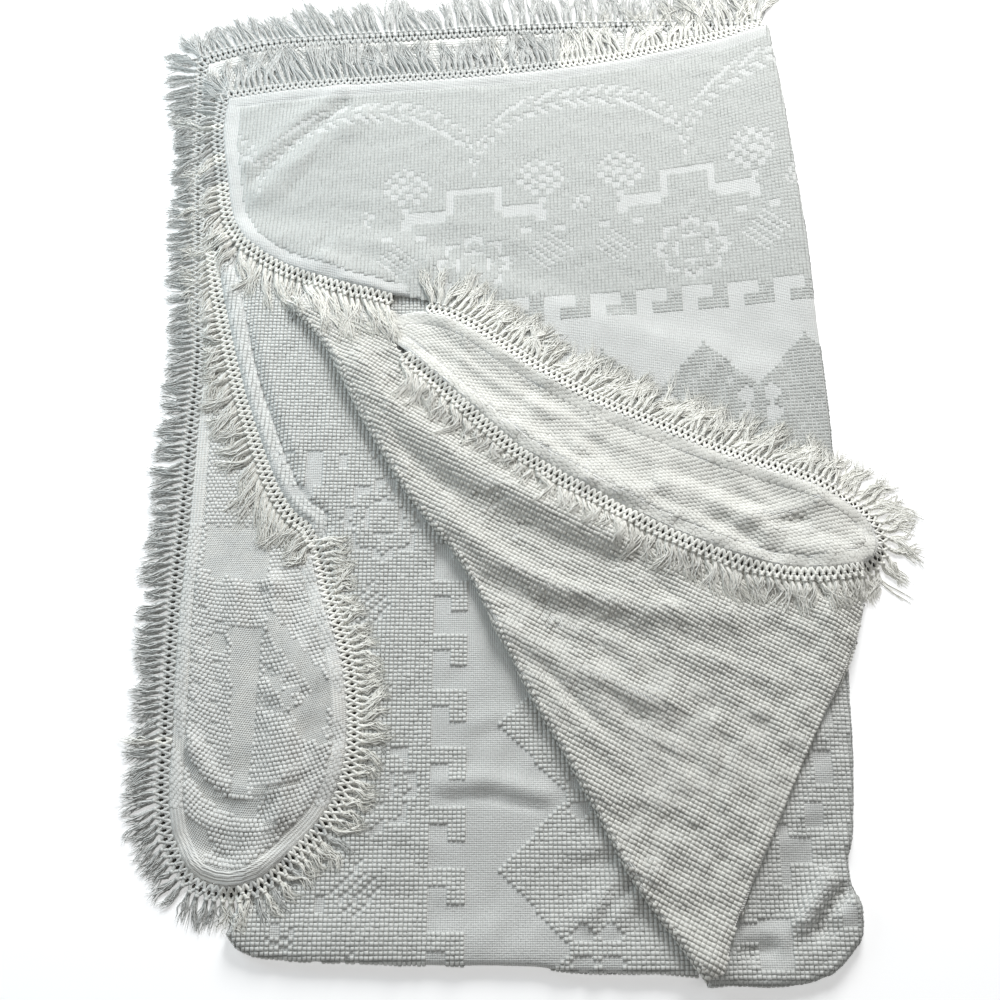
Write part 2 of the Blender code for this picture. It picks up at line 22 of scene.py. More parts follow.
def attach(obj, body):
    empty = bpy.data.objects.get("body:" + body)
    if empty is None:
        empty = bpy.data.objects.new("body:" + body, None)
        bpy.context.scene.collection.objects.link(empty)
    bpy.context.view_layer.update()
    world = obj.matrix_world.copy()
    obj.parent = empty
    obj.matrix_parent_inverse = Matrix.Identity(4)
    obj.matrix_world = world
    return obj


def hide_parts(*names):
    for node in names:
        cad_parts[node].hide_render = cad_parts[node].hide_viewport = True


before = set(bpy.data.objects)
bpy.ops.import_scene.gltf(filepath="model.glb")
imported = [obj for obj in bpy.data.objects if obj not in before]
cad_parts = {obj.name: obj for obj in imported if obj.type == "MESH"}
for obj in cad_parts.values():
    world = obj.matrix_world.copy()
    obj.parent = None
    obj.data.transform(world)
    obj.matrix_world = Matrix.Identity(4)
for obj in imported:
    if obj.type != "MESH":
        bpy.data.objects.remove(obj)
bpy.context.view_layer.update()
print("solids:", sorted(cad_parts))

# %% [markdown]
# ## Sizes of the cloth
#
# The tufts of such a spread stand about a quarter of an inch apart. The layers
# lie one pitch over each other, as in the solids, but the cloth itself is
# thinner here, because its pile stands up from it and needs the space.

# %% Sizes
# The layers are drawn from the stack's foot. SHIFT carries them into the frame.
SHIFT = np.array((-0.02314, -0.81750, 0.0))
SOLID_CLOTH = 0.003
CLOTH = 0.0018
LAYER_PITCH = 0.0066
FLOOR_GAP = 0.0002

# Over how far a layer eases down from the one it covers.
SOFT_RAMP, TUCK_RAMP, TONGUE_RAMP, BAND_RAMP = 0.055, 0.060, 0.045, 0.120
TONGUE_RISE, BAND_RISE, BAND_MOUTH_HALF = 0.10, 0.065, 0.022
TONGUE_LOFT, TONGUE_LOFT_RAMP = 0.0040, 0.04
LIP_DROP = 0.0062
HEM_DROP, HEM_DROP_WIDTH = 0.0022, 0.05
# How deep a trough may sink, as a share of the pitch.
FLAP_SINK, TONGUE_SINK = 0.55, 0.2

COLUMN = 0.0065
ROW = 0.0060
HEM_WIDTH = 0.022
TUFT_HEIGHT, DASH_HEIGHT = 0.0024, 0.0021

print("tufts across the sheet:", round(2.05 / COLUMN), "and along it:", round(2.60 / ROW))

# %% [markdown]
# ## Edge lines of the layers
#
# Folded cloth is easiest to lay out as a map seen from above. Each layer is
# given by the lines of its edges, as stations that a smooth line runs through.
# The stations are in millimetres. They are the same as in the solids, so the
# cloth lies where the solids lie.

# %% Edge lines: the bottom layer and the head
def metres(*stations):
    """Stations given in millimetres, in metres."""
    return [(x / 1000, y / 1000) for x, y in stations]


HEAD_UNDER = metres((-545, 1510), (-470, 1535), (-385, 1550), (-170, 1565), (40, 1580),
    (270, 1588), (497, 1592))
HEAD_OVER = metres((-497, 1425), (-366, 1447), (-184, 1463), (0, 1480), (185, 1507),
    (373, 1552), (497, 1592))
SIDE_UPPER = metres((-545, 1510), (-528, 1275), (-510, 1085), (-494, 905), (-492, 765),
    (-490, 600))
SIDE_LOWER = metres((-490, 600), (-490, 470), (-483, 285), (-478, 190), (-466, 130))
SPLIT_LEFT = metres((-490, 600), (-310, 600))
SPLIT_RIGHT = metres((-310, 600), (100, 575), (532, 545))
RIGHT_UPPER = metres((497, 1592), (510, 1425), (520, 1235), (525, 1110), (525, 975),
    (528, 800), (526, 700), (532, 545))
RIGHT_LOWER = metres((532, 545), (520, 445), (510, 365), (506, 255), (495, 150), (482, 85),
    (494, 12), (474, -22), (448, -44))
FOOT_LEFT = metres((-370, 5), (-325, -22), (-136, -31), (41, -33), (100, -41), (220, -42),
    (268, -46))
FOOT_RIGHT = metres((281, -56), (357, -59), (410, -56), (448, -44))
SLIT = metres((-310, 600), (-286, 560), (-262, 500), (-285, 400), (-320, 250), (-345, 120),
    (-370, 5))

# %% Edge lines: the left tongue, the middle layer and the top layer
TONGUE_END = metres((-466, 130), (-431, 76), (-378, 60), (-331, 74), (-285, 118))
TONGUE_RIGHT = metres((-310, 600), (-293, 560), (-272, 488), (-249, 425), (-234, 376),
    (-224, 318), (-221, 255), (-232, 195), (-255, 150), (-285, 118))
MIDDLE_HEM = metres((-492, 1130), (-480, 1055), (-448, 930), (-420, 835), (-390, 753),
    (-358, 675), (-327, 624), (-298, 600))
MIDDLE_HIDDEN = metres((-298, 600), (-276, 560), (-256, 500)) + SLIT[3:]
MIDDLE_TOP = metres((-492, 1130), (-200, 1100), (100, 980), (430, 860))
MIDDLE_RIGHT = metres((430, 860), (480, 700), (492, 500), (480, 350), (448, 220), (385, 110),
    (315, 30), (268, -46))
TOP_LEFT = metres((-497, 1425), (-500, 1350), (-486, 1265), (-468, 1175), (-440, 1120))
TOP_ARC = metres((-440, 1120), (-394, 1083), (-341, 1055), (-263, 1027), (-180, 1006))
TOP_FOOT = metres((-180, 1006), (-130, 1000), (-85, 976), (-22, 905), (60, 825), (170, 755),
    (270, 705), (370, 660), (470, 615), (532, 545))

# %% Edge lines: the flap, its lining and the right tongue
DIAGONAL = metres((-345, 985), (-272, 895), (-212, 773), (-139, 647), (-69, 557), (-19, 470),
    (49, 333), (104, 236), (157, 134), (196, 62), (250, -10), (281, -56))
FLAP_RIGHT = metres((545, 553), (550, 480), (532, 415), (511, 372), (455, 276), (397, 164),
    (344, 62), (315, -5), (303, -48))
FLAP_FOOT = metres((281, -56), (303, -48))
FLAP_NECK = metres((-345, 985), (-270, 955), (-192, 931))
FLAP_TOP = metres((-192, 931), (-130, 858), (-55, 800), (40, 755), (150, 690), (250, 650),
    (350, 615), (460, 580), (545, 553))
LINING_TOP = metres((-345, 985), (-200, 915), (-130, 845), (-55, 785), (40, 740), (150, 675),
    (350, 590), (532, 545))
NECK_TOP = metres((-300, 1050), (-238, 1020), (-172, 970))
BAND_UPPER = metres((-172, 970), (-130, 974), (-85, 962), (-40, 935), (33, 880), (121, 823),
    (167, 796), (264, 753), (364, 708), (480, 665), (545, 632))
BAND_END = metres((545, 632), (575, 606), (587, 575), (581, 550), (560, 532))
BAND_LOWER = metres((-192, 931), (-122, 868), (-50, 798), (8, 743), (52, 707), (156, 644),
    (238, 597), (319, 558), (410, 526), (500, 519), (560, 532))
BAND_ROOT = (-0.182, 0.9505)
TUCKED = metres((-360, 960), (-345, 950), (-205, 980), (-215, 1012), (-240, 1030),
    (-300, 1060))

# %% [markdown]
# ## Lines, distances and patches
#
# A few helpers do the drafting: a smooth line through stations, points spaced
# along it, the distance to a line, and a patch that fills four edge lines (a
# Coons patch, as a sail loft uses). They work on whole arrays of points at once,
# so even fine cloth takes no time.

# %% Smooth lines and points along them
def ease(x):
    """0 below 0, 1 above 1, and smooth between."""
    x = np.clip(x, 0.0, 1.0)
    return x * x * (3.0 - 2.0 * x)


def smooth_line(stations, steps=12):
    """A dense smooth line through the stations."""
    p = np.array(stations, float)
    if len(p) == 2:
        return p[0] + (p[1] - p[0]) * np.linspace(0, 1, steps + 1)[:, None]
    ends = np.vstack([2 * p[0] - p[1], p, 2 * p[-1] - p[-2]])
    u = (np.arange(steps) / steps)[:, None]
    parts = []
    for before, a, b, after in zip(ends, ends[1:], ends[2:], ends[3:]):
        bend = (b - before) * u + (2 * before - 5 * a + 4 * b - after) * u * u
        parts.append(a + 0.5 * (bend + (3 * a - before - 3 * b + after) * u ** 3))
    return np.vstack(parts + [p[-1:]])


def lengths_along(line):
    """How far along the line each of its points is."""
    return np.insert(np.cumsum(np.linalg.norm(np.diff(line, axis=0), axis=1)), 0, 0.0)


def spaced(stations, shares):
    """Points at the given shares of the smooth line's length."""
    line = smooth_line(stations)
    along = lengths_along(line)
    want = np.asarray(shares) * along[-1]
    return np.stack([np.interp(want, along, line[:, k]) for k in (0, 1)], axis=1)


# %% Distances to lines, layers and hems
def to_line(points, stations):
    """Distance from each point to the line through the stations."""
    near = np.full(points.shape[:-1], 9.0)
    for a, b in zip(np.array(stations[:-1]), np.array(stations[1:])):
        d = b - a
        u = np.clip((points - a) @ d / (d @ d), 0.0, 1.0)
        near = np.minimum(near, np.linalg.norm(points - a - u[..., None] * d, axis=-1))
    return near


def inside_by(points, ring):
    """Distance from each point to a closed ring, positive inside it."""
    near = to_line(points, ring + ring[:1])
    x, y = points[..., 0], points[..., 1]
    inside = np.zeros(near.shape, bool)
    for (ax, ay), (bx, by) in zip(ring, ring[1:] + ring[:1]):
        if ay != by:
            inside ^= ((ay > y) != (by > y)) & (x < ax + (y - ay) * (bx - ax) / (by - ay))
    return np.where(inside, near, -near)


def ring_of(*edges):
    """One closed ring from edge lines in order round the layer."""
    return [station for edge in edges for station in edge[:-1]]


RINGS = {
    "middle": ring_of(MIDDLE_HEM, MIDDLE_HIDDEN, FOOT_LEFT,
                      MIDDLE_RIGHT[::-1], MIDDLE_TOP[::-1]),
    "flap": ring_of(DIAGONAL, FLAP_FOOT, FLAP_RIGHT[::-1], FLAP_TOP[::-1], FLAP_NECK[::-1]),
    "lining": ring_of(DIAGONAL, FOOT_RIGHT, RIGHT_LOWER[::-1], LINING_TOP[::-1]),
    "top": ring_of(TOP_LEFT, TOP_ARC, TOP_FOOT, RIGHT_UPPER[::-1], HEAD_OVER[::-1]),
    "tucked": TUCKED,
    "tongue": ring_of(SPLIT_LEFT, TONGUE_RIGHT, TONGUE_END[::-1], SIDE_LOWER[::-1]),
    "band": ring_of(BAND_UPPER, BAND_END, BAND_LOWER[::-1] + [BAND_UPPER[0]]),
}
HEMS = {layer: [smooth_line(line, 5) for line in lines] for layer, lines in {
    "bed": [HEAD_UNDER, SIDE_UPPER],
    "tongue": [SIDE_LOWER, TONGUE_END, TONGUE_RIGHT],
    "middle": [MIDDLE_HEM],
    "top": [HEAD_OVER, TOP_LEFT, TOP_ARC],
    "band": [BAND_UPPER, BAND_END, BAND_LOWER],
}.items()}
FAR_FROM_HEM = 0.1


def from_hem(layer, points):
    """Distance from the layer's nearest hem line, or a distance well inside it."""
    near = [to_line(points, line) for line in HEMS.get(layer, [])]
    return np.minimum.reduce(near + [np.full(points.shape[:-1], FAR_FROM_HEM)])


# %% A patch between four edge lines
def patch(top, foot, left, right):
    """Rows of points that fill four edge lines."""
    edges = (top, foot, left, right)
    share = [lengths_along(line) / lengths_along(line)[-1] for line in edges]
    s = ((share[0] + share[1]) / 2)[None, :, None]
    t = ((share[2] + share[3]) / 2)[:, None, None]
    ruled = top[None] * (1 - t) + foot[None] * t + left[:, None] * (1 - s) + right[:, None] * s
    head_corners, foot_corners = top[0] * (1 - s) + top[-1] * s, foot[0] * (1 - s) + foot[-1] * s
    rows = ruled - (head_corners * (1 - t) + foot_corners * t)
    rows[0], rows[-1], rows[:, 0], rows[:, -1] = top, foot, left, right
    return rows


def finer(shares, k, first=None, last=None):
    """The shares with each step cut in k, or in first and last at the ends."""
    out = [shares[0]]
    for i, (a, b) in enumerate(zip(shares, shares[1:])):
        cuts = first if first and i == 0 else last if last and i == len(shares) - 2 else k
        out += [a + (b - a) * (n + 1) / cuts for n in range(cuts)]
    return out


def even(cells):
    """Even shares for that many cells."""
    return [k / cells for k in range(cells + 1)]


# %% [markdown]
# ## How high each layer lies
#
# A cloth on a stack of cloths climbs softly over every edge under it. Each
# layer's height is the height of what lies under it plus one pitch, eased over
# a few centimetres, plus its own creases. The creases are placed one by one: each
# is a line with a half width and a lift, and a trough has a lift below zero.

# %% Creases: half width, lift and stations, in millimetres
CREASES = {
    "middle": [
        (45, 7.0, (-370, 0), (280, -40)),
        (16, 3.0, (-460, 1050), (-300, 640)),
        (60, 3.0, (-400, 1000), (-230, 600)),
        (9, -3.2, (-433, 1049), (-415, 920), (-375, 800), (-322, 689)),
        (14, 5.6, (-90, 202), (-16, 208), (60, 188)),
        (7, -4.0, (-80, 181), (-16, 187), (56, 170)),
        (12, 3.0, (-45, 285), (0, 303)),
        (6, -2.2, (-39, 266), (-6, 283)),
        (13, 3.6, (105, 110), (160, 122)),
        (7, -2.4, (119, 90), (157, 102)),
        (14, 6.6, (145, 12), (168, 34), (215, 85)),
        (16, 3.0, (80, 10), (135, 45)),
        (20, 1.6, (-160, 420), (-200, 250)),
        (14, 1.6, (-190, 150), (-80, 110)),
        (18, 2.2, (-260, 60), (-180, 85), (-60, 50)),
        (7, -4.4, (193, 82), (166, 49), (136, 12)),
        (12, 6.0, (179, 91), (149, 56), (121, 19)),
    ],
    "lining": [
        (45, 6.0, (300, -50), (450, -45)),
        (50, 5.0, (515, 550), (490, 20)),
        (14, 6.0, (388, -4), (423, 30), (446, 70)),
        (10, 4.4, (312, -12), (345, 2), (369, 4)),
        (8, -3.0, (315, -32), (345, -18), (372, -16)),
        (16, 6.0, (470, 22), (492, 40)),
        (8, -4.0, (455, 36), (480, 58)),
        (8, -3.0, (440, 6), (466, 14)),
        (12, 2.4, (415, 150), (455, 165)),
        (12, 2.0, (440, 300), (480, 250)),
        (7, -6.0, (475, 58), (455, 34), (435, 9)),
        (13, 7.5, (458, 67), (438, 43), (418, 16)),
        (7, -4.5, (312, -14), (338, -23), (373, -18)),
    ],
    "flap": [
        (28, 3.0, (-330, 960), (270, -40)),
        (45, 4.5, (545, 530), (300, -40)),
        (24, 13.8, (-235, 880), (-180, 790), (-50, 682), (63, 625), (175, 572)),
        (14, -4.8, (-165, 730), (-45, 625), (62, 578), (165, 540)),
        (18, 10.5, (-85, 610), (-10, 535), (100, 487), (225, 458), (340, 448)),
        (11, -5.0, (-30, 503), (90, 453), (230, 410)),
        (16, 6.8, (0, 437), (89, 378), (185, 335), (250, 318)),
        (8, -3.2, (67, 366), (145, 285), (245, 245)),
        (12, 3.4, (50, 352), (170, 236)),
        (18, 3.6, (250, 540), (330, 560), (460, 500)),
        (18, 3.2, (345, 262), (312, 150), (240, 112)),
        (9, -2.8, (330, 253), (295, 142), (223, 137)),
        (16, 2.6, (290, 380), (430, 340)),
        (12, 2.4, (150, 200), (250, 170)),
        (12, 2.4, (215, 70), (300, 50)),
        (11, 3.4, (-290, 910), (-230, 830), (-150, 690)),
    ],
    "top": [
        (60, 6.0, (490, 1590), (515, 550)),
        (18, 5.0, (-450, 1275), (-375, 1368), (-290, 1440)),
        (10, -2.4, (-436, 1243), (-356, 1337), (-283, 1414)),
        (22, 5.0, (-420, 1215), (-330, 1315), (-250, 1385)),
        (10, -1.6, (-367, 1226), (-304, 1345)),
        (24, 2.5, (-420, 1120), (-220, 1040)),
        (30, 1.6, (380, 1520), (440, 1300)),
        (26, -1.2, (440, 1250), (470, 980)),
        (20, 1.4, (-100, 1160), (20, 1130)),
    ],
    "band": [
        (18, 4.0, (-100, 950), (500, 640)),
        (14, 3.0, (-100, 850), (50, 735), (240, 618), (330, 580), (500, 545)),
        (40, 2.4, (530, 600), (535, 560)),
        (13, 5.4, (255, 665), (330, 635), (415, 588)),
        (9, -3.4, (245, 640), (324, 600), (389, 566)),
        (11, 5.0, (385, 612), (440, 612), (490, 628)),
        (7, -3.4, (405, 590), (474, 603)),
        (11, 3.0, (50, 800), (260, 690)),
        (8, -2.0, (20, 850), (180, 740)),
        (9, 2.4, (-60, 880), (80, 780)),
    ],
    "tongue": [
        (6, -3.2, (-374, 512), (-354, 395), (-344, 292), (-339, 192), (-329, 137)),
        (10, 2.2, (-358, 512), (-338, 395), (-328, 292), (-323, 192)),
        (16, 3.4, (-470, 560), (-460, 150)),
        (14, 5.0, (-250, 440), (-240, 320), (-240, 200)),
        (12, 6.0, (-440, 100), (-380, 78), (-310, 100)),
        (18, 10.0, (-352, 500), (-332, 400), (-318, 250), (-318, 160)),
        (18, 8.0, (-405, 500), (-395, 400), (-380, 250)),
        (6.5, -7.0, (-378, 520), (-363, 413), (-350, 322), (-338, 235), (-337, 152)),
        (12, 4.4, (-358, 440), (-300, 385), (-262, 350)),
        (8, -4.4, (-351, 367), (-279, 319)),
        (10, 5.0, (-346, 344), (-285, 302)),
        (7, -4.0, (-344, 316), (-283, 278)),
        (8, -3.0, (-371, 495), (-328, 468)),
        (8, -3.0, (-262, 319), (-242, 258)),
        (10, 4.0, (-330, 200), (-285, 225), (-262, 260)),
        (10, -4.4, (-480, 290), (-452, 222), (-408, 180)),
        (12, 6.0, (-450, 262), (-420, 208), (-360, 182)),
        (10, -3.6, (-445, 148), (-420, 112), (-390, 98)),
        (14, 3.6, (-420, 150), (-370, 140)),
    ],
}
# Cloth is never flat: the way its slow waves run, in degrees, and their height.
WAVES = {"middle": (65, 0.0007), "lining": (20, 0.0008), "flap": (-27, 0.0013),
         "top": (12, 0.00035), "band": (-32, 0.0009), "tongue": (-80, 0.0009)}

# %% Heights of the layers
def waved(layer, points):
    """Slow uneven waves, long one way and short across it."""
    turn, size = WAVES[layer]
    turn = math.radians(turn)
    u = points[..., 0] * math.cos(turn) + points[..., 1] * math.sin(turn)
    v = points[..., 1] * math.cos(turn) - points[..., 0] * math.sin(turn)

    def swell(share, across, short, sway, long):
        """One wave, whose lines sway a little on their long way."""
        bend = sway * np.sin(2 * math.pi * u / long)
        return share * np.sin(2 * math.pi * across / short + bend)

    wave = (swell(1.0, v, 0.047, 1.6, 0.23) + swell(0.8, v + 0.3 * u, 0.081, 1.3, 0.14)
            + swell(0.5, v - 0.4 * u, 0.029, 1.8, 0.11))
    return size * wave * (0.7 + 0.3 * np.sin(2 * math.pi * (u / 0.31 + v / 0.17)))


def creased(layer, points):
    """Height of the layer's creases over its even height."""
    total = waved(layer, points)
    for width, lift, *stations in CREASES[layer]:
        near = to_line(points, metres(*stations))
        total = total + lift / 1000 * np.exp(-(near / (width / 1000)) ** 2)
    return total


def over(layer, points, ramp=SOFT_RAMP):
    """1 over a layer, easing to 0 one ramp outside it."""
    return ease(1.0 + inside_by(points, RINGS[layer]) / ramp)


# One function a layer: its height at any points seen from above.
def bed_height(points):
    return np.full(points.shape[:-1], SOLID_CLOTH / 2)


def middle_height(points):
    near = to_line(points, MIDDLE_HEM + MIDDLE_HIDDEN[1:4])
    drop = HEM_DROP * (1.0 - ease(near / HEM_DROP_WIDTH))
    return SOLID_CLOTH / 2 + LAYER_PITCH - drop + creased("middle", points)


def lining_base(points):
    """What the lining lies on: the bed, and the middle layer where it reaches."""
    return SOLID_CLOTH / 2 + over("middle", points) * (middle_height(points) - SOLID_CLOTH / 2)


def lining_height(points):
    return lining_base(points) + LAYER_PITCH + creased("lining", points)


def flap_height(points):
    base = lining_base(points)
    rise = over("lining", points) * (lining_height(points) - base)
    creases = np.maximum(creased("flap", points), -FLAP_SINK * LAYER_PITCH)
    return base + rise + LAYER_PITCH + creases


def top_height(points):
    base = lining_base(points)
    rise = over("tucked", points, TUCK_RAMP) * (flap_height(points) - base)
    return base + rise + LAYER_PITCH + creased("top", points)


def band_height(points):
    base, flap = lining_base(points), flap_height(points)
    height = base + over("flap", points, BAND_RAMP) * (flap - base)
    height = np.maximum(height, base + over("top", points) * (top_height(points) - base))
    along = np.maximum(0.0, np.linalg.norm(points - BAND_ROOT, axis=-1) - BAND_MOUTH_HALF)
    free = height + LAYER_PITCH + creased("band", points)
    return flap + ease(along / BAND_RISE) * (free - flap)


def tongue_height(points):
    under = middle_height(points) - SOLID_CLOTH / 2 + LAYER_PITCH
    rise = over("middle", points, TONGUE_RAMP) * under
    loose = TONGUE_LOFT * ease(from_hem("tongue", points) / TONGUE_LOFT_RAMP)
    sink = -np.minimum(rise, TONGUE_SINK * LAYER_PITCH)
    free = rise + np.maximum(loose + creased("tongue", points), sink)
    return SOLID_CLOTH / 2 + ease((SPLIT_LEFT[0][1] - points[..., 1]) / TONGUE_RISE) * free


# %% [markdown]
# ## Hems
#
# A woven spread ends in a flat hem, about an inch wide. It stands a little
# proud, because the cloth lies double there, and a line of stitches is sunk on
# its inner side. The sheet itself is shaped so, by its distance from the hem
# line. The middle layer's hem is wider and rolls over more than the others.

# %% Hem profile
HEM_PROUD, HEM_ROLL, HEM_EDGE_DROP, HEM_EASE = 0.0010, 0.0006, 0.0010, 0.004
# What single layers have instead.
PROUD = {"band": 0.0004}
ROLLED = {"tongue": 0.0010, "band": 0.0002, "middle": 0.0040}
WIDE = {"middle": 0.029}


def hem_profile(layer, distance):
    """The hem stands proud, rolls at its edge, and is sunk along its stitches."""
    width = WIDE.get(layer, HEM_WIDTH)
    most, rolled = PROUD.get(layer, HEM_PROUD), ROLLED.get(layer, HEM_ROLL)
    proud = most * (1.0 - ease((distance - width + 0.003) / HEM_EASE))
    edge = -HEM_EDGE_DROP * (1.0 - ease(distance / HEM_EASE))
    roll = rolled * np.exp(-((distance - 0.35 * width) / (0.24 * width)) ** 2)
    sunk = 0.7 * most + 0.65 * rolled
    stitches = -sunk * np.exp(-((distance - width - 0.0010) / 0.0035) ** 2)
    return proud + edge + roll + stitches


def laid(layer, rows, height):
    """The rows in space, at their layer's height."""
    z = height(rows) + hem_profile(layer, from_hem(layer, rows))
    z = np.maximum(z, CLOTH / 2 + FLOOR_GAP)
    return np.concatenate([rows, z[..., None]], axis=-1)


# %% [markdown]
# ## The flat cloth's own rows and columns
#
# Pile and weave follow the cloth, not the room. So each layer also carries flat
# coordinates: where its points lay before it was folded. The top layer was
# skewed a little as it was laid, and the flap is the lining seen in a mirror
# along the diagonal fold.

# %% Flat coordinates of each layer
SKEW, HEAD_SKEW = 0.098, 0.4


def top_rise(x, v):
    """How far the top layer's rows climb from their flat line."""
    return SKEW * x + HEAD_SKEW * np.maximum(0.0, x - 0.1) ** 2 * ease((v - 1.0) / 0.48)


def flat_top(points):
    """The skewed layer's flat coordinates: its rise is found in a few rounds."""
    x, y = points[..., 0], points[..., 1]
    v = y.copy()
    for _ in range(6):
        v = y - top_rise(x, v)
    return np.stack([x, v], axis=-1)


FOLD_FROM, FOLD_TO = np.array(DIAGONAL[0]), np.array(DIAGONAL[-1])


def flat_mirrored(points):
    """The layer's points mirrored in the diagonal fold."""
    along = (FOLD_TO - FOLD_FROM) / np.linalg.norm(FOLD_TO - FOLD_FROM)
    away = points - FOLD_FROM
    return FOLD_FROM + 2 * (away @ along)[..., None] * along - away


def flat_strip(rows):
    """Across and along a long strip, whose rows run across it."""
    across = np.linalg.norm(np.diff(rows, axis=1), axis=-1).cumsum(axis=1)
    across = np.insert(across, 0, 0.0, axis=1)
    along = np.linalg.norm(np.diff(rows, axis=0), axis=-1).cumsum(axis=0)
    along = np.insert(along, 0, 0.0, axis=0).mean(axis=1)
    return np.stack([across, np.broadcast_to(along[:, None], across.shape)], axis=-1)


# %% [markdown]
# ## Laying the layers
#
# Each layer is a patch of small cells, about a centimetre wide, and finer along
# a hem. Neighbouring layers share the points of the fold between them, so the
# whole spread can be sewn into one sheet.

# %% Shares along the edges
MIDDLE_SHARES = [0.0, 0.03, 0.07, 0.14, 0.26, 0.38, 0.50, 0.62, 0.74, 0.87, 1.0]
LINING_SHARES = [0.0, 0.25, 0.50, 0.65, 0.78, 0.88, 0.95, 1.0]
FLAP_SHARES = [0.0, 0.20, 0.40, 0.58, 0.74, 0.87, 0.95, 1.0]
MIDDLE_FOOT_SHARE, FOOT_SLOT_SHARE, STRIP_SHARE = 0.776, 0.016, 0.174
HEM_CELLS, HIDDEN_CELLS, ARC_CELLS, TOP_FOOT_CELLS = 72, 64, 36, 54
BAND_CELLS, MOUTH_CELLS, NECK_CELLS = 84, 20, 12

middle_across = finer(MIDDLE_SHARES, 6, first=4)
lining_across = finer(LINING_SHARES, 5)
strip_across = finer(even(6), 2, first=6)
upper_down = finer(even(12), 4, first=9)
lower_down = finer(even(17), 4)
tongue_down = finer(even(9), 5, last=9)


def squeezed(start, shares):
    """The shares squeezed into the run from start to 1."""
    return [start + (1 - start) * s for s in shares]


# Across the bed, right of the strip that runs into the tongue.
bed_across = ([MIDDLE_FOOT_SHARE * s for s in middle_across]
              + squeezed(MIDDLE_FOOT_SHARE + FOOT_SLOT_SHARE, lining_across))
head_across = [STRIP_SHARE * s for s in strip_across[:-1]] + squeezed(STRIP_SHARE, bed_across)


def joined(*pieces):
    """Points of edge pieces that meet, each meeting point once."""
    return np.vstack([pieces[0]] + [piece[1:] for piece in pieces[1:]])


def shares_of(edge):
    return lengths_along(edge) / lengths_along(edge)[-1]


# %% The bottom layer and the left tongue
split_left, split_right = spaced(SPLIT_LEFT, strip_across), spaced(SPLIT_RIGHT, bed_across)
upper_map = patch(spaced(HEAD_UNDER, head_across), joined(split_left, split_right),
                  spaced(SIDE_UPPER, upper_down), spaced(RIGHT_UPPER, upper_down))
foot_edge = np.vstack([spaced(FOOT_LEFT, middle_across), spaced(FOOT_RIGHT, lining_across)])
lower_map = patch(split_right, foot_edge,
                  spaced(SLIT, lower_down), spaced(RIGHT_LOWER, lower_down))
tongue_map = patch(split_left, spaced(TONGUE_END, strip_across),
                   spaced(SIDE_LOWER, tongue_down), spaced(TONGUE_RIGHT, tongue_down))

# %% The layers above it
middle_left = joined(spaced(MIDDLE_HEM, even(HEM_CELLS)),
                     spaced(MIDDLE_HIDDEN, even(HIDDEN_CELLS)))
middle_map = patch(spaced(MIDDLE_TOP, middle_across), spaced(FOOT_LEFT, middle_across),
                   middle_left, spaced(MIDDLE_RIGHT, even(HEM_CELLS + HIDDEN_CELLS)))
top_foot_edge = joined(spaced(TOP_ARC, even(ARC_CELLS)), spaced(TOP_FOOT, even(TOP_FOOT_CELLS)))
top_map = patch(spaced(HEAD_OVER, shares_of(top_foot_edge)), top_foot_edge,
                spaced(TOP_LEFT, upper_down), spaced(RIGHT_UPPER, upper_down))
lining_map = patch(spaced(LINING_TOP, lining_across), spaced(FOOT_RIGHT, lining_across),
                   spaced(DIAGONAL, lower_down), spaced(RIGHT_LOWER, lower_down))
flap_top_edge = joined(spaced(FLAP_NECK, even(NECK_CELLS)),
                       spaced(FLAP_TOP, finer(FLAP_SHARES, 8)))
flap_map = patch(flap_top_edge, spaced(FLAP_FOOT, shares_of(flap_top_edge)),
                 spaced(DIAGONAL, lower_down), spaced(FLAP_RIGHT, lower_down))

# %% The band, and the neck that joins it to the flap
mouth = spaced([BAND_UPPER[0], BAND_LOWER[0]], even(MOUTH_CELLS))
band_map = patch(spaced(BAND_UPPER, even(BAND_CELLS)), spaced(BAND_LOWER, even(BAND_CELLS)),
                 mouth, spaced(BAND_END, even(MOUTH_CELLS)))
neck_map = patch(spaced(NECK_TOP, even(NECK_CELLS)), spaced(FLAP_NECK, even(NECK_CELLS)),
                 spaced([NECK_TOP[0], FLAP_NECK[0]], even(MOUTH_CELLS)), mouth)
print("cells:", sum((m.shape[0] - 1) * (m.shape[1] - 1) for m in (
    upper_map, lower_map, tongue_map, middle_map, top_map, lining_map, flap_map,
    band_map, neck_map)))

# %% [markdown]
# ## Folds
#
# Where one layer turns over to become the next, the cloth makes a soft half
# round. Each fold is a strip of rows between the two edges that it joins, bent
# outwards by half of the height between them.

# %% A half-round fold
FOLD_STEPS = 6


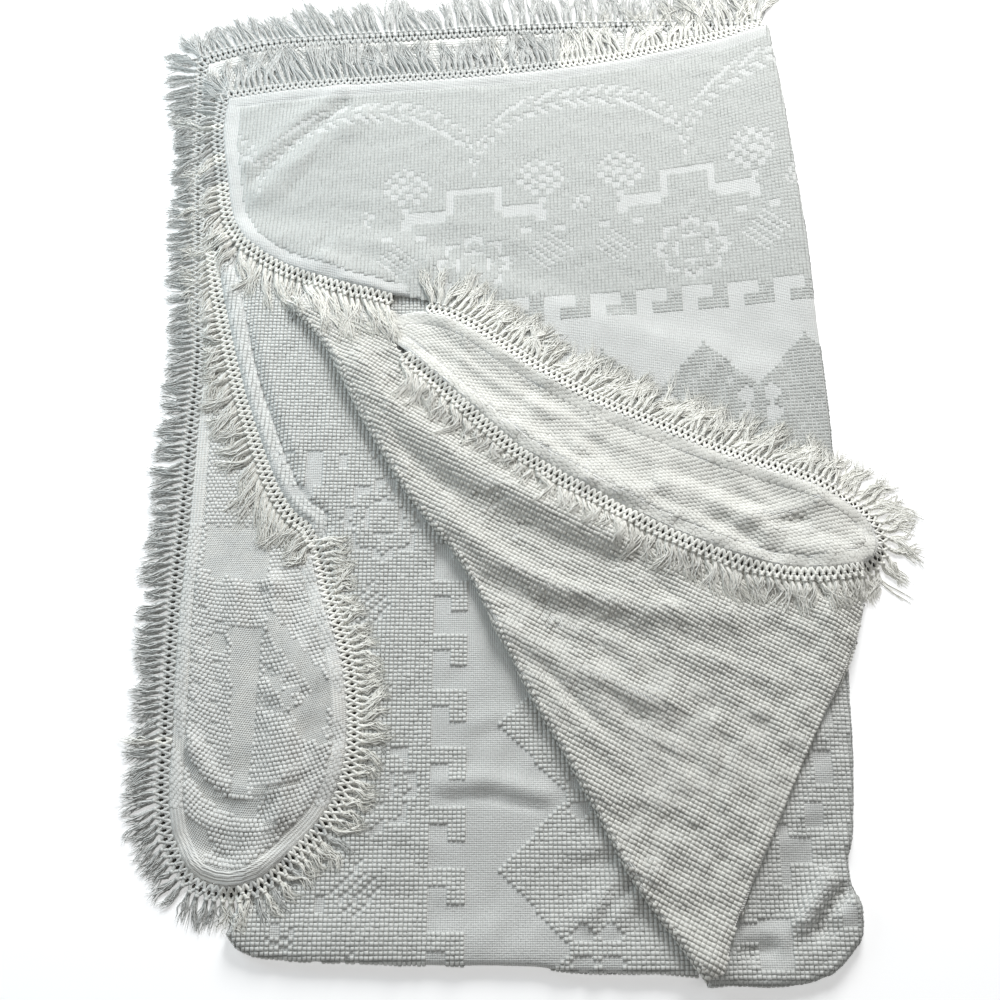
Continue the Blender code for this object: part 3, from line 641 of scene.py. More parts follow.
def turned(lower, upper, centre):
    """Rows that turn a lower edge over to the one above it, their normals, the
    way out from the centre, and each row's length of arc."""
    run = np.empty((len(lower), 2))
    run[1:-1] = lower[2:, :2] - lower[:-2, :2]
    run[0], run[-1] = lower[1, :2] - lower[0, :2], lower[-1, :2] - lower[-2, :2]
    out = np.stack([run[:, 1], -run[:, 0]], axis=1)
    out /= np.linalg.norm(out, axis=1)[:, None]
    out *= np.where(((lower[:, :2] - centre) * out).sum(axis=1) < 0, -1.0, 1.0)[:, None]
    middle, radius = (lower + upper) / 2, (upper[:, 2] - lower[:, 2]) / 2
    rows, normals = [], []
    for k in range(FOLD_STEPS + 1):
        angle = math.pi * (k / FOLD_STEPS - 0.5)
        up = np.full((len(out), 1), math.sin(angle))
        normal = np.concatenate([out * math.cos(angle), up], axis=1)
        rows.append(middle + normal * radius[:, None])
        normals.append(normal)
    rows[0], rows[-1] = lower.copy(), upper.copy()
    turns = np.array([math.pi * k / FOLD_STEPS for k in range(FOLD_STEPS + 1)])
    arcs = turns[:, None] * radius
    return np.array(rows), np.array(normals), out, arcs


# %% Every layer in space
layers = {
    "upper": laid("bed", upper_map, bed_height),
    "lower": laid("none", lower_map, bed_height),
    "tongue": laid("tongue", tongue_map, tongue_height),
    "middle": laid("middle", middle_map, middle_height),
    "top": laid("top", top_map, top_height),
    "lining": laid("none", lining_map, lining_height),
    "flap": laid("none", flap_map, flap_height),
    "band": laid("band", band_map, band_height),
    "neck": laid("none", neck_map, flap_height),
}
# The top layer meets the lining at one corner, and the neck, the band, the flap
# and the tongue take their shared edges from each other.
corner = layers["lining"][0, -1]
top_z = layers["top"][..., 2]
near_corner = ease(np.linalg.norm(layers["top"][..., :2] - corner[:2], axis=-1) / 0.07)
layers["top"][..., 2] = corner[2] + near_corner * (top_z - corner[2])
layers["neck"][:, -1] = layers["band"][:, 0]
layers["neck"][-1] = layers["flap"][0, :NECK_CELLS + 1]
layers["tongue"][0] = layers["upper"][-1, :len(split_left)]

flats = {
    "upper": upper_map, "lower": lower_map, "middle": middle_map, "lining": lining_map,
    "top": flat_top(top_map), "tongue": flat_strip(tongue_map),
    "flap": flat_mirrored(flap_map), "neck": flat_mirrored(neck_map),
    "band": np.swapaxes(flat_strip(np.swapaxes(band_map, 0, 1)), 0, 1),
}
top_of_all = max(places[..., 2].max() for places in layers.values())
print("highest point of the cloth, mm:", round(1000 * top_of_all, 1))

# %% Every fold in space
# The lip is the flap's turned-under right edge. It stops short of the foot.
LIP_STOP = -8
CENTRES = {"side": (0.0, 0.7), "foot": (0.0, 0.7), "diagonal": (0.5, 0.6), "lip": (0.1, 0.3)}
feet = len(middle_across)


def right_edge(upper, lower, last):
    """The right edge of two layers in line, and the lower one's foot back to last."""
    return np.vstack([upper[:, -1], lower[1:, -1], lower[-1, -2:last:-1]])


below = right_edge(layers["upper"], layers["lower"], feet - 1)
above = right_edge(layers["top"], layers["lining"], None)
above_flat = right_edge(flats["top"], flats["lining"], None)
lip_edge = layers["flap"][:LIP_STOP, -1]

folds = {
    "side": turned(below, above, CENTRES["side"]),
    "foot": turned(layers["lower"][-1, :feet], layers["middle"][-1], CENTRES["foot"]),
    "diagonal": turned(layers["lining"][:, 0], layers["flap"][:, 0], CENTRES["diagonal"]),
    "lip": turned(lip_edge - (0, 0, LIP_DROP), lip_edge, CENTRES["lip"]),
}
fold_flats = {}
for name, upper_flat in (("side", above_flat), ("foot", flats["middle"][-1]),
                         ("lip", flats["flap"][:LIP_STOP, -1])):
    _, _, out, arcs = folds[name]
    fold_flats[name] = upper_flat[None] + out[None] * (arcs[-1][None] - arcs)[..., None]
_, _, out, arcs = folds["diagonal"]
fold_flats["diagonal"] = flats["lining"][:, 0][None] + out[None] * arcs[..., None]

# %% [markdown]
# ## Sewing the sheet
#
# Every patch is laid as one bmesh grid whose points are moved to their places.
# Merging the doubled points sews the patches along the folds. One Solidify then
# gives the cloth its thickness, with the face, the reverse and the cut edge in
# slots of their own, because they are woven differently.

# %% Lay a grid and sew the patches
def lay_grid(bm, places, flat, hem):
    """One grid of the bmesh, moved to the places, with its flat coordinates."""
    rows, columns = places.shape[:2]
    made = bmesh.ops.create_grid(bm, x_segments=columns - 1, y_segments=rows - 1, size=0.5)
    uv, hem_layer = bm.loops.layers.uv["flat"], bm.verts.layers.float["hem"]
    index = {}
    for v in made["verts"]:
        i, j = round((0.5 - v.co.y) * (rows - 1)), round((v.co.x + 0.5) * (columns - 1))
        index[v] = (i, j)
        v.co = places[i, j] + SHIFT
        v[hem_layer] = hem[i, j]
    for face in {face for v in made["verts"] for face in v.link_faces}:
        for loop in face.loops:
            loop[uv].uv = flat[index[loop.vert]]


def height_of(face):
    return face.calc_center_median().z


sheet_bm = bmesh.new()
sheet_bm.loops.layers.uv.new("flat")
sheet_bm.verts.layers.float.new("hem")
HEM_OF = {"upper": "bed"}
for name, places in layers.items():
    hem_distance = from_hem(HEM_OF.get(name, name), places[..., :2])
    lay_grid(sheet_bm, places, flats[name], hem_distance)
for name, (places, *_) in folds.items():
    lay_grid(sheet_bm, places, fold_flats[name], np.full(places.shape[:2], FAR_FROM_HEM))
bmesh.ops.remove_doubles(sheet_bm, verts=sheet_bm.verts, dist=0.00005)
bmesh.ops.recalc_face_normals(sheet_bm, faces=sheet_bm.faces)
# The highest face at the head is surely on the outside, so it has to look up.
head_faces = [face for face in sheet_bm.faces if face.calc_center_median().y > 0.3]
if max(head_faces, key=height_of).normal.z < 0:
    bmesh.ops.reverse_faces(sheet_bm, faces=sheet_bm.faces)
print("sheet faces:", len(sheet_bm.faces))

# %% Give it thickness
def add_piece(name, data):
    """An object of the scene that shows the data."""
    piece = bpy.data.objects.new(name, data)
    bpy.context.scene.collection.objects.link(piece)
    return piece


def settle_modifiers(piece):
    """Keeps what the modifiers make as the piece's own mesh."""
    bpy.context.view_layer.update()
    shown = piece.evaluated_get(bpy.context.evaluated_depsgraph_get())
    mesh = bpy.data.meshes.new_from_object(shown)
    piece.modifiers.clear()
    piece.data = mesh
    return mesh


def triangles_in(mesh):
    return sum(len(polygon.vertices) - 2 for polygon in mesh.polygons)


sheet_mesh = bpy.data.meshes.new("spread_cloth")
sheet_bm.to_mesh(sheet_mesh)
sheet_bm.free()
cloth = add_piece("spread_cloth", sheet_mesh)
for _ in range(3):
    cloth.data.materials.append(None)
shell = cloth.modifiers.new("thickness", "SOLIDIFY")
shell.thickness, shell.offset, shell.use_rim = CLOTH, 0.0, True
shell.material_offset, shell.material_offset_rim = 1, 2
settle_modifiers(cloth)
cloth.data.shade_smooth()
print("cloth triangles:", triangles_in(cloth.data))

# %% [markdown]
# ## The pattern in tufts
#
# The loom raises a tuft at each crossing of a row and a column, or leaves it
# out. What is left out draws the pattern: a Greek key band, a plain band, a
# zigzag, and outside them garlands, flowers and leaves. The charts below give
# the traditional kinds of motif as simple rules, and all their numbers count
# cells of the cloth. In a border chart, a runs along the frame from the middle
# of an urn, and h away from the frame.

# %% Chart of the key band and the zigzag
KEY_DEEP, PLAIN_DEEP, ZIGZAG_DEEP = 8, 7, 15


def frame_chart(depth, along, hook, zigzag, plain=PLAIN_DEEP, start=0, mirrored=False):
    """Where the framed middle has tufts: depth inside the frame, and cells along it.

    A key has a bar with a hook, and hook cells to a repeat. The zigzag is filled,
    with a four-petalled flower of plain cloth in each of its valleys."""
    step = np.mod(7 - along if mirrored else along - start, hook)
    key = (step < 4) | ((step < 8) & (depth >= 4))
    into = depth - KEY_DEEP - plain
    swing = np.abs(np.mod(along + zigzag / 2, zigzag) - zigzag / 2) / (zigzag / 2)
    peaks = swing * ZIGZAG_DEEP <= into
    valley = (1 - swing) * zigzag / 2
    below = into - ZIGZAG_DEEP
    petal = (np.abs(np.abs(below - 5.5) - 3) + np.abs(valley - 3.2) * 1.2 < 3.0)
    inner = peaks & ~petal
    return np.where(depth < KEY_DEEP, key, np.where(into < 0, False, inner))


# %% Chart of the garlands, flowers and leaves
REPEAT = 58


def wrapped(along, period):
    """Cells from the middle of the nearest repeat."""
    return np.mod(along + period / 2, period) - period / 2


def urn_chart(a, h):
    """A stepped urn with two arms that end in legs and branches."""
    side = np.abs(a)
    body = (side < 8) & (h > 30) & (h < 40) & ~((side < 6) & (h < 38))
    arms = (np.abs(h - 30.4) < 1.9) & (side > 7) & (side < 17.5)
    legs = (np.abs(side - 18) < 1.2) & (h > 26) & (h <= 30.4)
    branch = (np.abs(side - 17 - (h - 30.4) * 0.5) < 1.0) & (h > 30) & (h < 35)
    blocks = (np.abs(h - 23.5) < 1.5) & ((np.abs(side - 14) < 1.5) | (np.abs(side - 23) < 1.5))
    return body | arms | legs | branch | blocks


def flower_chart(a, h):
    """Round flowers of pebbles, with small checks and leaves of dashes between."""
    side = np.abs(a)
    pebbles = (np.floor(a / 2) + np.floor(h / 2)) % 2 == 0
    reach = np.hypot(side - 18.2, h - 41.6)
    petals = (reach < 6.6) & (reach > 1.8) & pebbles
    ring = (np.hypot(side - 29, h - 31.5) < 3.0) & pebbles
    leaf = np.abs(side - 20) / 6.5 + np.abs(h - 16) / 7 < 1
    return petals | (reach < 1.2) | ring | (leaf & (np.mod(a + h, 3) == 0))


def medallion_chart(a, h):
    """A broken scalloped ring round a smaller one."""
    x, y = a, h - 13
    turn, reach = np.arctan2(y, x), np.hypot(x, y)
    outer = (np.abs(reach - 8.5 - 0.8 * np.cos(8 * turn)) < 0.9) & (np.cos(8 * turn) > -0.75)
    inner = (np.abs(reach - 4.2) < 0.8) & (np.cos(4 * turn) > -0.6)
    return outer | inner | (reach < 1.0)


def garland_chart(a, h):
    """Arches that spring from the urns, of slanting dashes like a herringbone."""
    x = np.clip(np.abs(a) / (REPEAT / 2), 0.0, 1.0)
    into = h - (43 + 23 * np.sqrt(1 - (1 - x) ** 2))
    slant = np.where(into < 4, a * 0.8 + h, a * 0.8 - h)
    return (into > 0) & (into < 8) & (np.abs(into - 4) > 0.7) & (np.mod(slant, 4) < 2)


def border_chart(along, out):
    """Where the border outside the frame has tufts."""
    a = wrapped(along, REPEAT)
    motifs = urn_chart(a, out) | flower_chart(a, out) | medallion_chart(a, out)
    return ~(motifs | garland_chart(a, out))


# %% Which cells of each layer have a tuft
# Where frames, urns and keys start on the flat cloth, in metres.
TOP_FRAME, TOP_KEY, TOP_URN = (0.000, 0.994), 0.336, -0.044
MIDDLE_FRAME, MIDDLE_KEY, MIDDLE_URN, MIDDLE_BORDER_END = -0.099, 0.286, 0.608, 0.72
# The cells that one repeat of the border takes up in the middle layer.
MIDDLE_REPEAT = 68


def top_chart(c, r):
    """The top layer: a frame corner, with the border outside it. Left of the urn
    only the garland is drawn."""
    across, down = c - round(TOP_FRAME[0] / COLUMN), round(TOP_FRAME[1] / ROW) - r
    depth = np.minimum(across, down)
    along_top = c - round(TOP_KEY / COLUMN)
    framed = np.where(down < across, frame_chart(depth, along_top, 12, 26, 10, mirrored=True),
                      frame_chart(depth, r - 20, 13, 34))
    along_foot = c - round(TOP_URN / COLUMN)
    garland = ~garland_chart(wrapped(along_foot, REPEAT), -down)
    foot = np.where(along_foot < -REPEAT / 2, garland, border_chart(along_foot, -down))
    border = np.where(down < 0, foot, border_chart(r, -across))
    return np.where(depth >= 0, framed, border)


def middle_chart(c, r):
    """The middle layer: its frame runs from head to foot. The border is drawn out a
    little, and tufted all over above its last repeat."""
    depth = c - round(MIDDLE_FRAME / COLUMN)
    framed = frame_chart(depth, round(MIDDLE_KEY / ROW) - r, 14, 34, start=6)
    along = np.round((r - MIDDLE_URN / ROW) * REPEAT / MIDDLE_REPEAT)
    border = border_chart(along, -depth) | (r * ROW > MIDDLE_BORDER_END)
    return np.where(depth >= 0, framed, border)


# Plain blocks of the lining: left, right, foot and head, in metres.
LINING_GAPS = [
    (0.431, 0.456, 0.144, 0.180), (0.409, 0.440, 0.090, 0.130), (0.450, 0.476, 0.200, 0.250),
    (0.352, 0.398, -0.048, 0.022), (0.322, 0.354, -0.012, 0.016), (0.468, 0.500, 0.006, 0.038),
    (0.455, 0.485, 0.285, 0.330), (0.395, 0.408, 0.060, 0.150)]


def lining_chart(c, r):
    """The lining shows the tufted field, with its plain blocks."""
    x, y = c * COLUMN, r * ROW
    plain = np.zeros(c.shape, bool)
    for x0, x1, y0, y1 in LINING_GAPS:
        plain |= (x > x0) & (x < x1) & (y > y0) & (y < y1)
    return ~plain


def flap_chart(c, r):
    """The flap's reverse: floats stand tall where the face is plain."""
    return frame_chart(c + 12, -r, 13, 34) | (c < -12)


def tongue_chart(c, r):
    """The left tongue's reverse: pebbles, with plain twill where a motif is. Columns
    count from its outer edge, and rows from where it leaves the stack."""
    def disc(column, row, wide, tall):
        return np.hypot((c - column) / wide, (r - row) / tall) < 1

    strip = (c > 13.7 + (r - 37) * 0.1) & (c < 21) & (r < 66) & ((r > 26) | (r < 15))
    arc = (np.abs(np.hypot(c - 22, r - 40) - 28.5) < 1.7) & (r > 50) & (c < 24)
    slant = r - 1.35 * (c - 21)
    stripes = ((slant > 21) & (slant < 27)) | ((slant > 34) & (slant < 37)) | (slant < -6)
    bands = (c > 21) & (r < 58) & stripes
    bar = (np.abs(r - 64) < 1) & (c > 24) & (c < 33)
    steps = (np.mod(c, 5) < 2) & (np.mod(r + 2 * np.floor(c / 5), 5) < 1)
    checks = steps & (r > 22) & (r < 60) & (c < 14)
    top = (r < 14 + 1.5 * np.sin(c * 0.9)) & (c > 4) & (c < 20)
    discs = disc(9.8, 31.0, 2.4, 3.0) | disc(9, 77.5, 5.5, 3.2) | disc(34, 50, 3.5, 6)
    return ~(strip | arc | bands | bar | checks | top | discs)


def all_over(c, r):
    """Pile at every crossing."""
    return np.ones(c.shape, bool)


# %% [markdown]
# ## Where the tufts stand
#
# For each small triangle of the laid cloth, the rows and columns that cross in
# it are looked up in its flat coordinates and carried to its place in space.
# So the pile bends, climbs and turns over the folds just as the cloth does.

# %% Crossings of rows and columns on laid cloth
# What the columns of a table of spots hold.
PLACE, UP, GRAIN = slice(0, 3), slice(3, 6), slice(6, 9)
COLUMN_NUMBER, ROW_NUMBER, TALL = 9, 10, 11
TINY = 1e-12


def surface_normals(places):
    """Upward normals of laid rows."""
    across, down = np.gradient(places, axis=1), np.gradient(places, axis=0)
    normal = np.cross(across, down)
    normal /= np.maximum(np.linalg.norm(normal, axis=-1), TINY)[..., None]
    return normal * np.where(normal[..., 2:] < 0, -1.0, 1.0)


def triangles_of(grid):
    """The corners of the two triangles in each cell of a grid."""
    a, b, c, d = grid[:-1, :-1], grid[:-1, 1:], grid[1:, 1:], grid[1:, :-1]
    size = grid.shape[-1]
    return np.concatenate([np.stack([a, b, c], axis=2).reshape(-1, 3, size),
                           np.stack([a, c, d], axis=2).reshape(-1, 3, size)])


def crossings(places, normals, flat, stagger=0.0):
    """Place, normal, direction of the columns, and column and row number."""
    p, n, f = triangles_of(places), triangles_of(normals), triangles_of(flat)
    e1, e2 = f[:, 1] - f[:, 0], f[:, 2] - f[:, 0]
    area = e1[:, 0] * e2[:, 1] - e1[:, 1] * e2[:, 0]
    area = np.where(np.abs(area) < TINY, TINY, area)
    grain = (p[:, 2] - p[:, 0]) * e1[:, :1] - (p[:, 1] - p[:, 0]) * e2[:, :1]
    grain = grain / area[:, None]
    low, high = f.min(axis=1), f.max(axis=1)
    r0, c0 = np.floor(low[:, 1] / ROW), np.floor(low[:, 0] / COLUMN) - 1
    widest = (high - low).max(axis=0)
    found = []
    for dr in range(int(np.ceil(widest[1] / ROW)) + 2):
        for dc in range(int(np.ceil(widest[0] / COLUMN)) + 3):
            r, c = r0 + dr, c0 + dc
            at = np.stack([(c + stagger * np.mod(r, 2)) * COLUMN, r * ROW], axis=1) - f[:, 0]
            w1 = (at[:, 0] * e2[:, 1] - at[:, 1] * e2[:, 0]) / area
            w2 = (e1[:, 0] * at[:, 1] - e1[:, 1] * at[:, 0]) / area
            hit = (w1 >= 0) & (w2 >= 0) & (w1 + w2 < 1)
            w = np.stack([1 - w1 - w2, w1, w2], axis=1)[hit][..., None]
            found.append(np.concatenate([
                (p[hit] * w).sum(axis=1), (n[hit] * w).sum(axis=1),
                grain[hit], c[hit, None], r[hit, None]], axis=1))
    return np.concatenate(found)


# %% Leave out what the chart leaves out, the hems, and what is hidden
# The layers that lie over each layer, and how far in from their edges there is
# still pile under them.
HIDDEN_BY = {
    "top": ["band"],
    "middle": ["flap", "tongue", "top", "band"],
    "lining": ["flap", "band"],
    "flap": ["band", "top"],
    "upper": ["top", "middle", "tongue", "flap", "band"],
    "tongue": [],
    "band": [],
    "neck": ["top", "band"],
}
HIDDEN_DEPTH = {"top": 0.030, "middle": 0.030, "flap": 0.020, "tongue": 0.018, "band": 0.016}
# On these hems the pile runs on, pressed flat: its share of the full height.
HEM_PILE = {"tongue": 0.45, "band": 0.45, "middle": 0.40}
HEM_EDGE, STITCH_HALF, HEM_CLEAR, HEM_PILE_FROM = 0.005, 0.002, 0.004, 0.17
# Every second row of the reverse lies half a column along. The flap's low floats
# have this share of the full height.
HALF_STEP, FLAP_LOW = 0.5, 0.6


def charted(spots, chart, low):
    """The spots that the chart keeps, with their share of the full height."""
    tall = chart(spots[:, COLUMN_NUMBER], spots[:, ROW_NUMBER])
    spots = np.column_stack([spots, np.where(tall, 1.0, low)])
    return spots[tall | (low > 0)]


def pile_spots(layer, chart, stagger=0.0, low=0.0):
    """The crossings of a layer that have pile and can be seen."""
    places = layers[layer]
    spots = crossings(places, surface_normals(places), flats[layer], stagger)
    spots = charted(spots, chart, low)
    seen_from_above = spots[:, :2]
    to_hem, width = from_hem(HEM_OF.get(layer, layer), seen_from_above), WIDE.get(layer, HEM_WIDTH)
    keep = to_hem > width + HEM_CLEAR
    if layer in HEM_PILE:
        on_hem = (to_hem > HEM_EDGE) & (np.abs(to_hem - width) > STITCH_HALF)
        keep |= on_hem & (seen_from_above[:, 1] > HEM_PILE_FROM)
        spots[:, TALL] = np.where(to_hem < width, HEM_PILE[layer], spots[:, TALL])
    for cover in HIDDEN_BY[layer]:
        keep &= inside_by(seen_from_above, RINGS[cover]) < HIDDEN_DEPTH[cover]
    return spots[keep]


def fold_spots(fold, chart):
    """The crossings on the outside of a fold, above the floor."""
    places, normals, _, _ = folds[fold]
    spots = charted(crossings(places, normals, fold_flats[fold]), chart, 0.0)
    crown = spots[:, 2] + spots[:, 5] * (CLOTH / 2 + TUFT_HEIGHT)
    return spots[crown > 2 * FLOOR_GAP]


face_spots = {
    "top": [pile_spots("top", top_chart), fold_spots("side", top_chart)],
    "middle": [pile_spots("middle", middle_chart), fold_spots("foot", middle_chart),
               pile_spots("lining", lining_chart)],
}
reverse_spots = {
    "flap": [pile_spots("flap", flap_chart, low=FLAP_LOW), fold_spots("diagonal", all_over),
             fold_spots("lip", all_over)],
    "tongues": [pile_spots("tongue", tongue_chart, HALF_STEP),
                pile_spots("upper", all_over, HALF_STEP)],
    "band": [pile_spots("band", all_over, HALF_STEP), pile_spots("neck", all_over, HALF_STEP)],
}
spots_of = {k: np.concatenate(v) for k, v in {**face_spots, **reverse_spots}.items()}
print("tufts:", {k: len(v) for k, v in spots_of.items()})

# %% [markdown]
# ## One tuft, planted thousands of times
#
# A tuft is a little bun of cotton. A square bun of ten triangles is enough,
# because it is only a few millimetres wide. The face and the reverse have buns
# of their own sizes. For each piece one bun is modelled as a seed, and Geometry
# Nodes plants it at every crossing. The copies are then made real, so the piece
# is an ordinary mesh at the end.

# %% A helper that adds a node with its settings and links
def node(tree, kind, inputs=None, **settings):
    """A node of the tree. An input is a value, or the socket to link from."""
    made = tree.nodes.new(kind)
    for key, value in settings.items():
        setattr(made, key, value)
    for key, value in (inputs or {}).items():
        if isinstance(value, bpy.types.NodeSocket):
            tree.links.new(value, made.inputs[key])
        else:
            made.inputs[key].default_value = value
    return made


# %% The seeds
FOOT_SUNK = 0.10


def seed_mesh(name, across, along, height, shoulder):
    """A square bun with round shoulders, with its foot sunk into the cloth."""
    bm = bmesh.new()
    root = bm.verts.layers.float.new("root")
    bmesh.ops.create_cone(bm, cap_ends=True, segments=4, radius1=math.sqrt(0.5),
                          radius2=math.sqrt(0.5) * shoulder, depth=1.0)
    bmesh.ops.rotate(bm, verts=bm.verts, matrix=Matrix.Rotation(math.pi / 4, 3, "Z"))
    bottom = [f for f in bm.faces if f.normal.z < -0.9]
    bmesh.ops.delete(bm, geom=bottom, context="FACES_ONLY")
    # The root value runs from 0 at the foot to 1 at the crown; the pile finishes paint shade where
    # it is low.
    for v in bm.verts:
        v[root] = 1.0 if v.co.z > 0.0 else 0.0
    bmesh.ops.translate(bm, verts=bm.verts, vec=(0, 0, 0.5 - FOOT_SUNK))
    bmesh.ops.scale(bm, vec=(across, along, height), verts=bm.verts)
    mesh = bpy.data.meshes.new(name)
    bm.to_mesh(mesh)
    bm.free()
    mesh.shade_smooth()
    return bpy.data.objects.new(name, mesh)


# Width in columns, length in rows, height, and how wide the crown is to the foot.
seeds = {name: seed_mesh(name + "_seed", COLUMN * across, ROW * along, height, shoulder)
         for name, across, along, height, shoulder in (
             ("tuft", 0.94, 1.14, TUFT_HEIGHT, 0.58),
             ("rib", 0.94, 1.42, TUFT_HEIGHT * 0.40, 0.58),
             ("bead", 0.98, 1.16, DASH_HEIGHT, 0.58),
             ("float", 1.00, 1.45, DASH_HEIGHT * 0.50, 0.62),
             ("pebble", 0.98, 1.10, DASH_HEIGHT * 0.8, 0.60))}
print("triangles in a tuft:", triangles_in(seeds["tuft"].data))

# %% Plant a seed at every spot
def planting(seed):
    """A node group that sets the seed on each point and makes the copies real."""
    group = bpy.data.node_groups.new("plant_" + seed.name, "GeometryNodeTree")
    group.interface.new_socket("Geometry", in_out="INPUT", socket_type="NodeSocketGeometry")
    group.interface.new_socket("Geometry", in_out="OUTPUT", socket_type="NodeSocketGeometry")
    points = node(group, "NodeGroupInput")
    seed_info = node(group, "GeometryNodeObjectInfo", {"Object": seed, "As Instance": True})
    turn, size = (node(group, "GeometryNodeInputNamedAttribute", {"Name": name},
                       data_type="FLOAT_VECTOR").outputs["Attribute"] for name in ("turn", "size"))
    planted = node(group, "GeometryNodeInstanceOnPoints", {
        "Points": points.outputs[0], "Instance": seed_info.outputs["Geometry"],
        "Rotation": turn, "Scale": size})
    real = node(group, "GeometryNodeRealizeInstances", {"Geometry": planted.outputs["Instances"]})
    node(group, "NodeGroupOutput", {0: real.outputs["Geometry"]})
    return group


def turns_of(spots, rng):
    """Turns that set the seed upright on the cloth and along its columns."""
    up = spots[:, UP] / np.linalg.norm(spots[:, UP], axis=1)[:, None]
    along = spots[:, GRAIN] - (spots[:, GRAIN] * up).sum(axis=1)[:, None] * up
    along /= np.maximum(np.linalg.norm(along, axis=1), 1e-9)[:, None]
    across = np.cross(along, up)
    sway = rng.normal(0.0, 0.10, len(spots))[:, None]
    cos, sin = np.cos(sway), np.sin(sway)
    across, along = across * cos + along * sin, along * cos - across * sin
    return np.stack([np.arctan2(along[:, 2], up[:, 2]),
                     -np.arcsin(np.clip(across[:, 2], -1, 1)),
                     np.arctan2(across[:, 1], across[:, 0])], axis=1)


def keep_off_floor(mesh):
    """Pile at the outside of a low fold is pressed flat by the floor."""
    co = np.empty(3 * len(mesh.vertices), np.float32)
    mesh.vertices.foreach_get("co", co)
    co[2::3] = np.maximum(co[2::3], FLOOR_GAP)
    mesh.vertices.foreach_set("co", co)


def set_vectors(mesh, name, vectors):
    """A vector for each point of the mesh, under a name that the nodes ask for."""
    values = mesh.attributes.new(name, "FLOAT_VECTOR", "POINT").data
    values.foreach_set("vector", vectors.astype(np.float32).ravel())


DOTTED = (0.90, 0.74, 1.20)


def plant(name, seed, spots, seed_number, dotted=()):
    """Seeds on the spots; where dotted they are smaller and stand a little taller."""
    rng = np.random.default_rng(seed_number)
    mesh = bpy.data.meshes.new(name)
    mesh.vertices.add(len(spots))
    lift = CLOTH / 2 * spots[:, UP]
    jitter = rng.normal(0.0, 0.00022, (len(spots), 3)) * (1, 1, 0)
    places = spots[:, PLACE] + lift + jitter + SHIFT
    mesh.vertices.foreach_set("co", places.astype(np.float32).ravel())
    set_vectors(mesh, "turn", turns_of(spots, rng))
    sizes = rng.uniform(0.90, 1.08, len(spots))[:, None] * np.ones(3)
    sizes[:, 2] *= spots[:, TALL]
    if len(dotted):
        sizes[dotted] *= DOTTED
    set_vectors(mesh, "size", sizes)
    piece = add_piece(name, mesh)
    piece.modifiers.new("plant", "NODES").node_group = planting(seed)
    settle_modifiers(piece)
    keep_off_floor(piece.data)
    piece.data.shade_smooth()
    print(name, "triangles:", triangles_in(piece.data))
    return piece


top_columns, top_rows = spots_of["top"][:, COLUMN_NUMBER], spots_of["top"][:, ROW_NUMBER]
in_frame = (top_columns >= TOP_FRAME[0] / COLUMN) & (top_rows <= TOP_FRAME[1] / ROW)
pile = [
    plant("pile_top", seeds["rib"], spots_of["top"], 11, in_frame),
    plant("pile_middle", seeds["tuft"], spots_of["middle"], 12),
    plant("beads_flap", seeds["bead"], spots_of["flap"], 13),
    plant("beads_tongue", seeds["pebble"], spots_of["tongues"], 14),
    plant("floats_band", seeds["float"], spots_of["band"], 15),
]

# %% [markdown]
# ## The ground that the fringe falls on
#
# Each tassel lies on whatever is under it: the floor, a lower layer or another
# fringe. A height map answers that for any point. It is read off the cloth from
# above, once, and each finished fringe is added to it.

# %% Height map
MAP_CELL = 0.004
MAP_LOW, MAP_SIZE = np.array((-0.76, -0.16)), (380, 480)
ABOVE_ALL = 0.2


def read_heights(piece):
    """Heights of the piece, or the floor's, seen from above."""
    bm = bmesh.new()
    bm.from_mesh(piece.data)
    tree = BVHTree.FromBMesh(bm)
    bm.free()
    heights = np.zeros(MAP_SIZE)
    for i, j in np.ndindex(*MAP_SIZE):
        x, y = MAP_LOW + MAP_CELL * np.array((i, j)) + SHIFT[:2]
        hit = tree.ray_cast(Vector((x, y, ABOVE_ALL)), Vector((0, 0, -1)))[0]
        if hit is not None:
            heights[i, j] = hit.z
    return heights


def spread_out(heights, rounds):
    """The map with its steps eased, never below the cloth."""
    for _ in range(rounds):
        eased = heights.copy()
        for axis in (0, 1):
            eased = (np.roll(eased, 1, axis) + 2 * eased + np.roll(eased, -1, axis)) / 4
        heights = np.maximum(heights, eased)
    return heights


def ground_at(heights, x, y):
    """Height of the map at a place."""
    i, j = (x - MAP_LOW[0]) / MAP_CELL, (y - MAP_LOW[1]) / MAP_CELL
    i, j = np.clip(i, 0, MAP_SIZE[0] - 1.001), np.clip(j, 0, MAP_SIZE[1] - 1.001)
    a, b = np.floor(i).astype(int), np.floor(j).astype(int)
    u, v = i - a, j - b
    return (heights[a, b] * (1 - u) * (1 - v) + heights[a + 1, b] * u * (1 - v)
            + heights[a, b + 1] * (1 - u) * v + heights[a + 1, b + 1] * u * v)


cloth_map = spread_out(read_heights(cloth), 2)
print("highest on the map, mm:", round(1000 * cloth_map.max(), 1))
